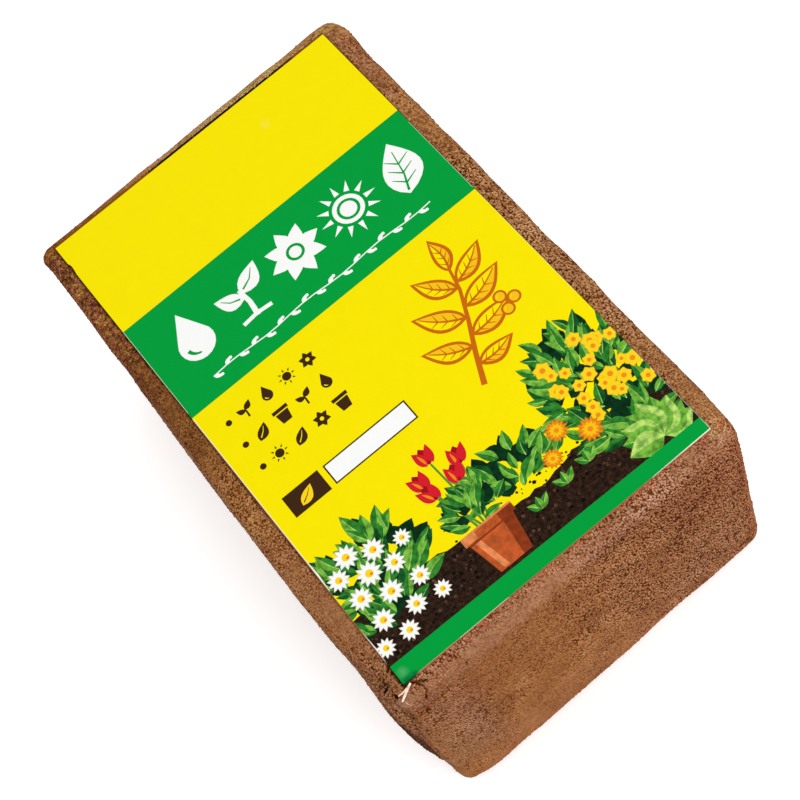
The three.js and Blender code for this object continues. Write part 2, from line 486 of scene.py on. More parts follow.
grains = bpy.data.collections.new("grains")
bpy.context.scene.collection.children.link(grains)
for number in range(GRAIN_SHAPES):
    bpy.ops.object.select_all(action="DESELECT")
    bpy.ops.mesh.primitive_cube_add(size=0.8)
    grain = bpy.context.object
    grain.name = f"grain_{number}"
    bpy.ops.object.mode_set(mode="EDIT")
    bpy.ops.mesh.select_all(action="SELECT")
    bpy.ops.transform.vertex_random(offset=0.22, seed=number + 3)
    bpy.ops.transform.resize(value=(1.0, 0.72 + 0.06 * number, 0.62))
    bpy.ops.transform.translate(value=(0, 0, -GRAIN_SINK))
    bpy.ops.object.mode_set(mode="OBJECT")
    bpy.ops.object.shade_smooth()
    for home in list(grain.users_collection):
        home.objects.unlink(grain)
    grains.objects.link(grain)

# %% [markdown]
# ## Loose grains: scattered on the skin
#
# Geometry Nodes scatters the grains: Distribute Points on Faces keeps them a set distance apart, Instance
# on Points puts a random shape at each point with its broad side along the skin, and every grain gets a
# number of its own, `tint`, so that the finish can make one paler or redder than the next. The grain also
# carries the `relief` of the skin where it lies. Instances are then realized, because only real mesh is
# kept, and the modifier is applied.

# %% Scatter the grains
GRAIN_TILT = 0.35
GRAIN_BEDS = [
    ("coir_grains_near_end", "near_end", 0.5, (0.34, 0.7)),
    ("coir_grains_top", "top", 0.56, (0.36, 0.8)),
    ("coir_grains_left", "left_side", 0.66, (0.45, 0.95)),
    ("coir_grains_right", "right_side", 0.66, (0.45, 0.95)),
    ("coir_grains_far_end", "far_end", 0.62, (0.36, 0.7)),
]


def scatter(name, side, spacing, size, seed):
    """A piece made of grains on one side of the brick. Spacing and the range of sizes are in millimetres."""
    tree = bpy.data.node_groups.new(name, "GeometryNodeTree")
    tree.interface.new_socket("Geometry", in_out="INPUT", socket_type="NodeSocketGeometry")
    tree.interface.new_socket("Geometry", in_out="OUTPUT", socket_type="NodeSocketGeometry")

    def add(kind, inputs=None, **settings):
        """Adds a node of this tree, and links or sets its inputs."""
        node = tree.nodes.new(kind)
        for key, value in settings.items():
            setattr(node, key, value)
        for key, value in (inputs or {}).items():
            socket = next(s for s in node.inputs if s.enabled and s.name == key)
            if isinstance(value, bpy.types.NodeSocket):
                tree.links.new(value, socket)
            else:
                socket.default_value = value
        return next(s for s in node.outputs if s.enabled) if node.outputs else None

    def random_value(kind, low, high, salt):
        """A random number or vector for each grain."""
        return add("FunctionNodeRandomValue", {"Min": low, "Max": high, "Seed": seed + salt}, data_type=kind)

    skin = add("GeometryNodeObjectInfo", {"Object": brick})
    skin = next(s for s in skin.node.outputs if s.name == "Geometry")
    where = add("GeometryNodeInputNamedAttribute", {"Name": side}, data_type="FLOAT")
    points = add("GeometryNodeDistributePointsOnFaces",
                 {"Mesh": skin, "Distance Min": spacing * MM, "Density Max": 3.0 / (spacing * MM) ** 2,
                  "Density Factor": where, "Seed": seed}, distribute_method="POISSON")
    shapes = add("GeometryNodeCollectionInfo",
                 {"Collection": grains, "Separate Children": True, "Reset Children": True})
    laid = add("GeometryNodeInstanceOnPoints",
               {"Points": points, "Instance": shapes, "Pick Instance": True,
                "Instance Index": random_value("INT", 0, GRAIN_SHAPES - 1, 1),
                "Rotation": points.node.outputs["Rotation"],
                "Scale": random_value("FLOAT", size[0] * MM, size[1] * MM, 2)})
    turn = random_value("FLOAT_VECTOR", (-GRAIN_TILT, -GRAIN_TILT, 0.0),
                        (GRAIN_TILT, GRAIN_TILT, 2 * math.pi), 3)
    turned = add("GeometryNodeRotateInstances", {"Instances": laid, "Rotation": turn})
    marked = add("GeometryNodeStoreNamedAttribute",
                 {"Geometry": turned, "Name": "tint", "Value": random_value("FLOAT", 0.0, 1.0, 4)},
                 data_type="FLOAT", domain="INSTANCE")
    real = add("GeometryNodeRealizeInstances", {"Geometry": marked})
    add("NodeGroupOutput", {"Geometry": real})

    bpy.ops.object.select_all(action="DESELECT")
    bpy.ops.mesh.primitive_plane_add(size=0.001)
    piece = bpy.context.object
    piece.name = name
    modifier = piece.modifiers.new("scatter", "NODES")
    modifier.node_group = tree
    bpy.ops.object.modifier_apply(modifier="scatter")
    print(name, "has", len(piece.data.vertices) // 8, "grains and", len(piece.data.polygons) * 2, "triangles")
    return piece


crumbs = [scatter(*bed, seed) for seed, bed in enumerate(GRAIN_BEDS, start=11)]
for shape in list(grains.objects):
    bpy.data.objects.remove(shape)
bpy.data.collections.remove(grains)

# %% [markdown]
# ## Pale fibres
#
# Some husk fibres survive the grinding. They lie pressed into the pith, thin, pale and slightly bent, and
# one torn sliver of three strands stands out at the near left corner. Each fibre is a short path that
# creeps over the skin in small steps: every step looks up the nearest place on the brick, so the fibre
# follows its lumps. The paths get a thin bevel, are made mesh and are joined in one piece.

# %% Lay the fibres
FIBRE_COUNT = 30
FIBRE_STEPS = 6
SLIVER_STRANDS = [
    ([(-41.7, -77, 73.8), (-42.4, -77.3, 73.8), (-43.4, -77.7, 73.6), (-44.5, -78.3, 73.4),
      (-45.7, -78.9, 73.2)], 0.34),
    ([(-41.7, -77, 73.9), (-42.8, -77.4, 73.8)], 0.36),
    ([(-41.8, -77, 73.9), (-43.1, -77.3, 73.7), (-44.5, -77.5, 73.5), (-45.6, -77.3, 73.2)], 0.2),
]


def creeping_path(chance):
    """A bent path on the skin, from a random face that shows."""
    face = brick.data.polygons[chance.randrange(len(brick.data.polygons))]
    place, normal = face.center.copy(), face.normal.copy()
    way = normal.cross(Vector([chance.uniform(-1, 1) for _ in range(3)])).normalized()
    length = chance.uniform(1.6, 4.6) * MM
    curl = chance.uniform(-0.35, 0.35)
    path = []
    for step in range(FIBRE_STEPS):
        path.append(place + normal * chance.uniform(0.02, 0.1) * MM)
        _, nearest, normal, _ = brick.closest_point_on_mesh(place + way * length / FIBRE_STEPS)
        place = nearest.copy()
        way = Matrix.Rotation(curl, 3, normal) @ way
        way = (way - normal * way.dot(normal)).normalized()
    return path


def add_spline(curve, path, half_width):
    """A line through the path that tapers to both ends."""
    spline = curve.splines.new("POLY")
    spline.points.add(len(path) - 1)
    for k, (point, place) in enumerate(zip(spline.points, path)):
        point.co = (*place, 1)
        point.radius = half_width * (0.35 + 0.65 * math.sin(math.pi * (k + 0.5) / len(path)))


chance = random.Random(21)
curve = bpy.data.curves.new("fibres", "CURVE")
curve.dimensions = "3D"
curve.bevel_depth = 1 * MM
curve.bevel_resolution = 1
curve.use_fill_caps = True
while len(curve.splines) < FIBRE_COUNT:
    path = creeping_path(chance)
    spots = np.array([list(point) for point in path]) / MM
    on_top = spots[:, 2] > TOP - 2
    if spots[:, 2].min() > 1.5 and (not on_top.any() or beyond_label(spots[on_top]).min() > 0.8):
        add_spline(curve, path, chance.uniform(0.035, 0.075))
for strand, half_width in SLIVER_STRANDS:
    add_spline(curve, [Vector(place) * MM for place in strand], half_width)
fibres = bpy.data.objects.new("coir_fibres", curve)
bpy.context.scene.collection.objects.link(fibres)
only(fibres)
bpy.ops.object.convert(target="MESH")
bpy.ops.object.shade_smooth()
print("Laid", FIBRE_COUNT, "fibres and a torn sliver:", len(fibres.data.polygons), "faces")

# %% [markdown]
# ## The paper label: inks and outlines
#
# The label is one sheet of printed paper. Its print is flat colour with sharp edges, so it is drawn as a
# list of closed outlines, each with an ink, and a later outline prints over an earlier one. Here are the
# inks and the few outlines that everything on the sheet is drawn with, in millimetres from the middle of
# the label. The label's own ornament is generic: signs of growing things, a sprig and a strip of garden.

# %% Inks and outlines
def srgb(red, green, blue):
    """A colour as it looks on screen, from 0 to 255, turned into the light values that shaders use."""
    shares = (red / 255, green / 255, blue / 255)
    return tuple(c / 12.92 if c < 0.04 else ((c + 0.055) / 1.055) ** 2.4 for c in shares)


INKS = {
    "bare paper": srgb(250, 246, 232), "white": srgb(252, 253, 250),
    # the dark edge inks paint the shadow under the sheet's cut edge
    "edge dust": srgb(66, 40, 22), "edge dark": srgb(26, 8, 8), "edge gold": srgb(128, 80, 18),
    "edge pale": srgb(226, 164, 136), "edge coir": srgb(168, 112, 84),
    "yellow": srgb(251, 232, 0), "green": srgb(0, 158, 60), "line orange": srgb(203, 104, 14),
    "gold": srgb(247, 196, 22), "dark brown": srgb(62, 38, 20),
    "soil": srgb(48, 33, 25), "soil light": srgb(94, 66, 50), "soil dark": srgb(20, 13, 10),
    "leaf shade": srgb(8, 48, 24), "leaf dark": srgb(18, 84, 36), "leaf mid": srgb(46, 128, 44),
    "leaf light": srgb(112, 178, 62), "leaf pale": srgb(170, 212, 104), "stem": srgb(84, 146, 50),
    "clay dark": srgb(138, 56, 24), "clay": srgb(190, 88, 42), "clay light": srgb(226, 138, 84),
    "red dark": srgb(160, 14, 30), "red": srgb(214, 30, 44), "orange": srgb(243, 140, 22),
    "petal yellow": srgb(254, 214, 30), "petal shade": srgb(222, 222, 206),
}
printed = []


def placed(outline, at, turn=0.0):
    """Turns an outline by so many degrees round its own origin and moves it to a point."""
    c, s = math.cos(math.radians(turn)), math.sin(math.radians(turn))
    return [(at[0] + c * x - s * y, at[1] + s * x + c * y) for x, y in outline]


def ink(name, outline, at=(0.0, 0.0), turn=0.0):
    """Prints one closed outline, placed and turned, over all that is printed so far."""
    printed.append((name, placed(outline, at, turn)))


def beside(at, right, up):
    """The point so far to the right of another and above it."""
    return at[0] + right, at[1] + up


def box(left, right, foot, top):
    return [(left, foot), (right, foot), (right, top), (left, top)]


def oval(across, steps, along=None):
    """A circle, or an oval that is another size along than across."""
    along = across if along is None else along
    ring = (2 * math.pi * k / steps for k in range(steps))
    return [(across / 2 * math.cos(a), along / 2 * math.sin(a)) for a in ring]


def midrib(length, bend, steps):
    """The middle line of a leaf, from its stalk at the origin to its tip, bent sideways."""
    return [(bend * math.sin(math.pi * k / steps), length * k / steps) for k in range(steps + 1)]


def leaf(length, width, bend=0.0, steps=7, halved=False):
    """A leaf round its midrib, or its right half alone."""
    middle = midrib(length, bend, steps)
    half = [width / 2 * math.sin(math.pi * (k / steps) ** 0.8) for k in range(steps + 1)]
    right = [(x + h, y) for (x, y), h in zip(middle, half)]
    left = middle if halved else [(x - h, y) for (x, y), h in zip(middle, half)]
    return right + left[-2:0:-1]


def stroke(points, width, end_width=None):
    """A drawn line of some width, which may taper to another width at its end."""
    end_width = width if end_width is None else end_width
    right, left = [], []
    last = len(points) - 1
    for k, (x, y) in enumerate(points):
        ax, ay = points[max(0, k - 1)]
        bx, by = points[min(last, k + 1)]
        run = math.hypot(bx - ax, by - ay) or 1.0
        h = (width + (end_width - width) * k / last) / 2
        side = ((by - ay) / run * h, -(bx - ax) / run * h)
        right.append((x + side[0], y + side[1]))
        left.append((x - side[0], y - side[1]))
    return right + left[::-1]


def arc(radius, start, end, steps=10):
    angles = (math.radians(start + (end - start) * k / steps) for k in range(steps + 1))
    return [(radius * math.cos(a), radius * math.sin(a)) for a in angles]


def drop(height):
    round_part = [(x, y + 0.32 * height) for x, y in arc(0.32 * height, -215, 35, 14)]
    return round_part + [(0, height)]


print("Inks:", len(INKS))

# %% [markdown]
# ## The paper label: the ground and the band
#
# The ground is yellow, with a broad green band across it. In the band stand five white signs: a drop, a
# seedling, a flower, the sun and a leaf, over a thin garland. A line in the ground's green, laid over a
# white sign, looks like a cut through it.

# %% Print the ground and the band
BAND_MIDDLE = 29.0


def print_band():
    """A row of five white signs of growing things in the band, over a thin garland."""
    white, ground = "white", "green"
    # a drop of water
    ink(white, drop(15.5), (-32, BAND_MIDDLE - 7.6))
    ink(ground, stroke(arc(3.0, 190, 262, 8), 1.1, 0.5), (-32, BAND_MIDDLE - 2.6))
    # a seedling with two leaves
    ink(white, stroke([(0, -7.6), (0.5, -3), (0, 1.6)], 1.5, 1.1), (-16, BAND_MIDDLE))
    right_leaf, left_leaf = (-16, BAND_MIDDLE + 0.2), (-16, BAND_MIDDLE - 1.4)
    ink(white, leaf(9.6, 5.6, 0.7), right_leaf, -52)
    ink(white, leaf(8.2, 4.8, -0.6), left_leaf, 56)
    ink(ground, stroke([(0, 1.4), (0.7, 4.6), (0, 7.6)], 0.55, 0.2), right_leaf, -52)
    ink(ground, stroke([(0, 1.2), (-0.6, 3.8), (0, 6.4)], 0.5, 0.2), left_leaf, 56)
    ink(white, stroke([(-4.4, 0), (0, 0.5), (4.4, 0)], 1.1), (-16, BAND_MIDDLE - 7.4))
    # an open flower
    for k in range(8):
        ink(white, leaf(8.1, 4.4, steps=6), (1, BAND_MIDDLE), 45 * k + 10)
    for name, size, steps in [(ground, 5.0, 18), (white, 3.4, 16)]:
        ink(name, oval(size, steps), (1, BAND_MIDDLE))
    # the sun
    for k in range(12):
        ink(white, [(-0.75, 5.2), (0.75, 5.2), (0.0, 8.4)], (18, BAND_MIDDLE), 30 * k)
    for name, size, steps in [(white, 8.6, 22), (ground, 6.2, 20), (white, 4.6, 18)]:
        ink(name, oval(size, steps), (18, BAND_MIDDLE))
    # a broad leaf with side veins
    stalk = (32, BAND_MIDDLE - 8.0)
    ink(white, leaf(16.5, 10.5, 0.9, 10), stalk, -14)
    ink(ground, stroke([(0, 1.0), (0.7, 6.0), (0.3, 13.6)], 0.7, 0.25), stalk, -14)
    for k in range(3):
        for side in (-1, 1):
            vein = [(0.5, 3.4 + 3.0 * k), (0.5 + side * 3.3, 5.6 + 3.0 * k)]
            ink(ground, stroke(vein, 0.5, 0.2), stalk, -14)
    # a garland under the row
    line = [(-34 + 4 * k, 15.6 + 0.35 * math.sin(1.1 * k)) for k in range(18)]
    ink(white, stroke(line, 0.32))
    for k, at in enumerate(line[:-1]):
        ink(white, leaf(2.6, 1.15, steps=5), at, -58 if k % 2 else -122)
        ink(white, oval(0.9, 8), beside(at, 2.1, 1.0 if k % 2 else -1.0))


ink("yellow", box(-46, 46, -79, 79))
ink("green", [(-46, 10.2), (46, 10.2), (46, 42.9), (-46, 42.7)])
print_band()
print("Outlines so far:", len(printed))

# %% [markdown]
# ## The paper label: sprig, signs and box
#
# On the yellow field are a leafy sprig in orange line work, three rows of small dark signs, and an empty
# box for a date beside a dark tab. Each leaf of the sprig is drawn three times: whole in orange, smaller in
# yellow, which leaves an orange rim, and its right half in gold.

# %% Print the sprig, the signs and the box
SPRIG_STEM = [(13.5, -33), (17.0, -25), (21.0, -17), (24.5, -9), (26.0, -2.5)]
SPRIG_LEAVES = [
    (0.96, 11.0, 5.0, -4), (0.82, 12.5, 5.6, -62), (0.76, 12.5, 5.6, 42), (0.6, 14.0, 6.2, -72),
    (0.52, 14.0, 6.2, 50), (0.38, 13.5, 6.0, -80), (0.3, 13.0, 5.8, 58), (0.16, 11.0, 5.2, -86),
]
SPRIG_BERRIES = [(30.2, -17.5), (32.8, -19.8), (29.8, -21.4)]


def print_sprig():
    """A leafy sprig in orange line work, on the right of the yellow field."""
    line = "line orange"
    ink(line, stroke(SPRIG_STEM, 1.5, 0.7))
    for along, length, width, turn in SPRIG_LEAVES:
        k = min(int(along * 4), 3)
        share = along * 4 - k
        at = tuple(a + (b - a) * share for a, b in zip(SPRIG_STEM[k], SPRIG_STEM[k + 1]))
        bend = 0.8 if turn < 0 else -0.8
        ink(line, leaf(length, width, bend, 10), at, turn)
        inner = placed([(0, 0.95)], at, turn)[0]
        for name, halved in (("yellow", False), ("gold", True)):
            ink(name, leaf(length - 2.1, width - 1.7, bend * 0.9, 9, halved), inner, turn)
        rib = midrib(length * 0.86, bend, 5)
        ink(line, stroke(rib, 0.7, 0.25), at, turn)
        for x, y in rib[1:4]:
            for side in (-1, 1):
                ink(line, stroke([(x, y), (x + side * width * 0.28, y + 1.5)], 0.36, 0.14), at, turn)
    for at in SPRIG_BERRIES:
        ink(line, oval(3.6, 18), at)
        ink("gold", oval(2.5, 16), at)
        ink("yellow", stroke(arc(0.75, 100, 190, 6), 0.3, 0.15), at)


def print_signs():
    """Three rows of small dark signs, each after a round bullet, on the left of the yellow field."""
    dark, ground = "dark brown", "yellow"

    def small_drop(at):
        ink(dark, drop(4.6), beside(at, 0, -2.2))
        ink(ground, stroke(arc(0.85, 190, 262, 6), 0.35, 0.15), beside(at, 0, -0.7))

    def small_leaf(at):
        stalk = beside(at, -1.7, -1.9)
        ink(dark, leaf(5.0, 2.9, 0.3), stalk, -42)
        ink(ground, stroke([(0, 0.9), (0.2, 2.6), (0, 4.0)], 0.3, 0.12), stalk, -42)

    def small_sun(at):
        for k in range(8):
            ink(dark, [(-0.26, 1.55), (0.26, 1.55), (0, 2.45)], at, 45 * k)
        ink(dark, oval(2.4, 14), at)

    def small_flower(at):
        for k in range(6):
            ink(dark, leaf(2.3, 1.5, steps=5), at, 60 * k)
        ink(ground, oval(1.1, 10), at)

    def small_sprout(at):
        ink(dark, stroke([(0, -2.2), (0.1, -0.6), (0, 0.4)], 0.55, 0.4), at)
        ink(dark, leaf(2.9, 1.7, 0.2, 6), at, -50)
        ink(dark, leaf(2.6, 1.5, -0.2, 6), beside(at, 0, -0.4), 54)

    def small_pot(at):
        ink(dark, [(-1.3, -2.2), (1.3, -2.2), (1.8, 0.8), (-1.8, 0.8)], at)
        ink(dark, box(-2.2, 2.2, 1.1, 2.1), at)

    rows = [
        (small_sprout, small_drop, small_sun, small_flower),
        (small_leaf, small_pot, small_sprout, small_drop),
        (small_sun, small_leaf, small_flower, small_pot),
    ]
    for r, row in enumerate(rows):
        up = 2.6 - 7.6 * r
        ink(dark, oval(1.7, 12), (-38.2, up))
        for c, sign in enumerate(row):
            sign((-33.2 + 6.4 * c, up))


def print_box():
    """An empty box for a date, with a dark tab that holds a leaf."""
    ink("dark brown", box(-27.5, -3.0, -28.6, -22.6))
    ink("white", box(-27.1, -3.4, -28.2, -23.0))
    ink("dark brown", box(-39.6, -29.0, -28.8, -22.4))
    ink("petal yellow", leaf(5.6, 2.9, 0.3), (-36.6, -27.4), -52)
    ink("dark brown", stroke([(0, 0.8), (0.2, 2.8), (0, 4.6)], 0.3, 0.12), (-36.6, -27.4), -52)


print_sprig()
print_signs()
print_box()
print("Outlines so far:", len(printed))

# %% [markdown]
# ## The paper label: leaves, flowers and a pot
#
# The garden above the foot repeats a few things: a leaf in two tones, a mound of such leaves, a round
# flower, a tulip, a clay pot and dark crumbly soil. Each is a small helper. Leaves and crumbs are strewn by
# a seeded random number, so that every run prints the same garden.

# %% Helpers for the garden
BUSH_TONES = [
    ("leaf dark", "leaf mid", "leaf dark"), ("leaf mid", "leaf dark", "leaf pale"),
    ("leaf mid", "leaf light", "leaf dark"), ("leaf light", "leaf mid", "leaf pale"),
]
SOIL_CRUMBS = 260


def print_leaf(at, length, width, turn, body, light, vein, bend=0.0):
    """A leaf in two tones with a midrib."""
    ink(body, leaf(length, width, bend), at, turn)
    ink(light, leaf(length, width, bend, halved=True), at, turn)
    ink(vein, stroke(midrib(length * 0.92, bend, 6), 0.06 * width + 0.08, 0.05), at, turn)


def print_flower(at, radius, petals, petal_ink, shade_ink, eye_ink, turn=0.0, width=0.62):
    """A round flower: a ring of petals in two tones, and an eye."""
    span = width * 2 * math.pi * radius / petals
    for name, length, breadth in ((shade_ink, radius, span * 1.25), (petal_ink, radius * 0.93, span * 0.9)):
        for k in range(petals):
            ink(name, leaf(length, breadth, steps=5), at, turn + 360 * k / petals)
    ink(eye_ink, oval(radius * 0.62, 10), at)


def print_soil(chance):
    """A heap of dark soil with crumbs of two tones."""
    top = [(-46 + 2.0 * k, -59.5 + 2.2 * math.sin(0.17 * k + 0.6) + chance.uniform(-0.5, 0.5))
           for k in range(47)]
    ink("soil", [(46, -79), *top[::-1], (-46, -79)])
    for k in range(SOIL_CRUMBS):
        at = (chance.uniform(-45, 45), chance.uniform(-71, -58.5))
        size = chance.uniform(0.35, 1.15)
        crumb = [(size / 2 * chance.uniform(0.6, 1.2) * math.cos(1.26 * j), size / 2 * math.sin(1.26 * j))
                 for j in range(5)]
        ink("soil dark" if k % 2 else "soil light", crumb, at, chance.uniform(0, 360))


def print_bush(chance, centre, across, along, count, size):
    """A mound of overlapping leaves, dark ones first and pale ones last."""
    def strewn(spread):
        """A random place in the mound."""
        way = chance.uniform(0, 2 * math.pi)
        out = math.sqrt(chance.uniform(0, spread))
        return centre[0] + across / 2 * out * math.cos(way), centre[1] + along / 2 * out * math.sin(way)

    for k in range(count // 2):
        at = strewn(0.75)
        ink("leaf shade", leaf(size, size * 0.7, steps=5), at, chance.uniform(-70, 70))
    for k in range(count):
        at = strewn(1)
        tone = BUSH_TONES[min(3, int(4 * k / count + chance.uniform(0, 0.8)))]
        lean = -math.degrees(math.atan2(at[0] - centre[0], 0.6 * along + at[1] - centre[1]))
        length = size * chance.uniform(0.7, 1.25)
        print_leaf(at, length, length * chance.uniform(0.36, 0.5), lean + chance.uniform(-38, 38), *tone,
                   bend=chance.uniform(-0.08, 0.08) * length)


def print_pot(at, width, height, rim):
    """A clay pot with a rim, a lit side and a shaded side."""
    foot, side = width * 0.36, width / 2
    lip, top = side + 0.9, height + rim
    ink("clay", [(-foot, 0), (foot, 0), (side, height), (-side, height)], at)
    ink("clay dark", [(foot * 0.45, 0), (foot, 0), (side, height), (width * 0.26, height)], at)
    lit_side = [(-foot * 0.72, 0.4), (-foot * 0.4, 0.4), (-width * 0.28, height), (-width * 0.4, height)]
    ink("clay light", lit_side, at)
    ink("clay dark", box(-side, side, height - 0.5, height), at)
    ink("clay", box(-lip, lip, height, top), at)
    ink("clay light", box(-lip, -side + width * 0.22, height + 0.3, top), at)
    ink("clay light", box(-lip, lip, top - 0.5, top), at)
    ink("clay dark", box(width * 0.24, lip, height, top - 0.5), at)


def print_tulip(at, height, lean):
    """A tulip on its stalk."""
    head = placed([(0, height)], at, lean)[0]
    ink("stem", stroke([(0, 0), (0.2, height / 2), (0, height)], 0.6, 0.5), at, lean)
    ink("red dark", leaf(5.0, 3.8, steps=7), head, lean)
    ink("red", leaf(5.2, 2.6, 0.3, 7), beside(head, -0.9, 0), lean + 12)
    ink("red", leaf(5.2, 2.3, -0.3, 7), beside(head, 0.9, 0), lean - 14)
    ink("orange", leaf(3.4, 0.7, 0.1, 5), beside(head, -0.7, 0.5), lean + 10)


print("Garden helpers are ready")

# %% [markdown]
# ## The paper label: the garden and the foot
#
# Above the foot runs a strip of garden: daisies on the left, tulips in a clay pot, and yellow flowers,
# marigolds and a lettuce on the right, on dark soil. A green strip runs along the foot. The sheet was cut a
# little beside its print, so thin slivers of bare paper show along its edges.

# %% Print the garden and the foot
TULIPS = [(-12, 15.5, 12), (-7, 19.5, 2), (-2.5, 15, -12), (-9.5, 12, 18), (-4.6, 11.5, -6)]
DAISIES = [
    (-41, -48, 2.9), (-36.5, -44.6, 3.2), (-30.6, -47.4, 3.0), (-34.6, -51.4, 3.3), (-39.6, -55.0, 3.0),
    (-28.6, -53.2, 2.8), (-33.2, -58.2, 3.1), (-26.0, -59.6, 2.6), (-38.6, -62.4, 2.9), (-30.6, -64.4, 2.7),
    (-23.8, -49.6, 2.3), (-24.0, -65.6, 2.3), (-42.0, -68.0, 2.5), (-35.4, -68.2, 2.6),
]
MARIGOLDS = [(18.5, -53.6, 3.0), (24.4, -58.6, 3.3), (13.6, -58.4, 2.6)]
YELLOW_FLOWERS = 26
UNPRINTED = [
    ("bare paper", [(43.86, -79), (46, -79), (46, -36), (44.07, -36), (43.95, -66), (43.95, -72.5)]),
    ("bare paper", [(44.0, -30), (46, -30), (46, 9), (44.06, 9)]),
    ("bare paper", [(26, -79), (46, -79), (46, -76.78), (38, -76.88), (26, -77.06)]),
    ("bare paper", [(-46, 42.6), (-44.6, 42.6), (-44.36, 12.0), (-46, 12.0)]),
    ("petal shade", [(43.99, 11), (46, 11), (46, 38), (44.02, 38)]),
    ("bare paper", [(-46, 9.8), (-44.28, 9.8), (-44.2, 0), (-43.97, -39), (-46, -39)]),
    ("bare paper", [(-46, -71.4), (-43.95, -71.2), (-43.72, -66.5), (-43.98, -61.0), (-46, -61.0)]),
    ("bare paper", [(-46, -48.8), (-43.98, -48.6), (-43.66, -43.5), (-43.9, -39.2), (-46, -39.2)]),
]


def print_garden(chance):
    """A strip of garden above the foot, from the back to the front."""
    print_bush(chance, (-33, -51), 26, 17, 46, 6.4)
    print_bush(chance, (4, -54), 30, 11, 44, 5.6)
    print_bush(chance, (33, -47), 26, 24, 70, 6.2)
    print_soil(chance)
    print_bush(chance, (-36, -60), 22, 12, 34, 6.0)
    print_bush(chance, (34, -60), 24, 13, 36, 6.2)
    for x, height, lean in TULIPS:
        print_tulip((x * 0.35 - 4.9, -59.5), height, lean)
    print_bush(chance, (-7.2, -56.0), 12, 6, 20, 5.2)
    print_pot((-7.2, -71.6), 12.5, 9.6, 2.6)
    for *at, radius in DAISIES:
        print_flower(at, radius, 11, "white", "petal shade", "petal yellow", chance.uniform(0, 30))
        ink("orange", oval(radius * 0.3, 8, radius * 0.24), beside(at, 0.12 * radius, -0.12 * radius))
    for k in range(YELLOW_FLOWERS):
        at = (chance.uniform(24, 43), chance.uniform(-56, -37) - 0.12 * k)
        radius = chance.uniform(1.5, 2.4)
        print_flower(at, radius, 6, "petal yellow", "gold", "orange", chance.uniform(0, 60), 0.8)
    for *at, radius in MARIGOLDS:
        print_flower(at, radius, 14, "orange", "line orange", "line orange", 8, 0.8)
        print_flower(at, radius * 0.66, 11, "gold", "orange", "orange", 20, 0.8)
    # a lettuce in front on the right, its leaves in a fan
    for k in range(9):
        tones = ("leaf mid", "leaf light") if k % 2 else ("leaf light", "leaf pale")
        print_leaf((35.5, -71.2), 10.5 - 0.35 * abs(k - 4), 6.4, -84 + 21 * k, *tones, "leaf pale", 0.4)
    # three sprouts on the bare soil
    for x in (4.5, 12.5, 19.5):
        for turn, length in ((-48, 4.2), (44, 3.8), (-6, 3.4)):
            print_leaf((x, -66.6 + 0.1 * x), length, 1.9, turn, "leaf mid", "leaf light", "leaf pale")


print_garden(random.Random(11))
ink("green", [(-46, -79), (46, -79), (46, -73.3), (-46, -72.0)])
for name, outline in UNPRINTED:
    ink(name, outline)
print("Outlines in the whole print:", len(printed))

# %% [markdown]
# ## The paper label: printed, then cut out
#
# The sheet must stay flat and its print crisp, so the print is part of the mesh: where two inks meet, an
# edge runs. All outlines go into one constrained triangulation, which divides the plane along every one of
# them and tells which outlines each triangle lies in. The triangle takes the ink of the last one, as wet
# paper would. The label's own outline goes in too, and what lies outside it is dropped. It has a nick in
# its left edge, and a point wherever the cut edge of the paper changes its colour. A grid of loose points
# rides along, so that the sheet can still bend.

# %% Cut the printed sheet into triangles
BEND_GRID = 3.0
LEFT_BEND = (-44.35, 0.0)
NICK = [(-45.02, 70.2), (-44.74, 69.6), (-44.6, 68.6), (-44.7, 67.4), (-44.88, 65.8)]
FOOT_CHANGES = (-40.5, -28.0, -14.2, 27.0)
FAR_CHANGES = (34.0, 31.0, 16.0, -11.0, -14.0)
FAR_LINE = 76.77


def counter_clockwise(outline):
    ring = zip(outline, outline[1:] + outline[:1])
    area = sum(x0 * y1 - x1 * y0 for (x0, y0), (x1, y1) in ring)
    return outline if area > 0 else outline[::-1]


(foot_left, foot_at), (foot_right, foot_end) = SHEET_CORNERS[:2]
rise = (foot_end - foot_at) / (foot_right - foot_left)
foot = [(u, foot_at + rise * (u - foot_left)) for u in FOOT_CHANGES]
far = [(u, FAR_LINE) for u in FAR_CHANGES]
sheet_outline = [SHEET_CORNERS[0], *foot, *SHEET_CORNERS[1:3], *far, SHEET_CORNERS[3], *NICK, LEFT_BEND]
points, rings = [], []
for name, outline in printed + [("bare paper", sheet_outline)]:
    rings.append(list(range(len(points), len(points) + len(outline))))
    points.extend(Vector(point) for point in counter_clockwise(outline))
for u in np.arange(-42.5, 43, BEND_GRID):
    for v in np.arange(-75.5, 76, BEND_GRID):
        points.append(Vector((u, v)))
corners, _, triangles, _, _, inside = delaunay_2d_cdt(points, [], rings, 1, 1e-4, True)
sheet_ring = len(printed)
kept = [(triangle, max(k for k in within if k != sheet_ring))
        for triangle, within in zip(triangles, inside) if sheet_ring in within and len(within) > 1]
print("The print is", len(kept), "triangles from", len(printed), "outlines")
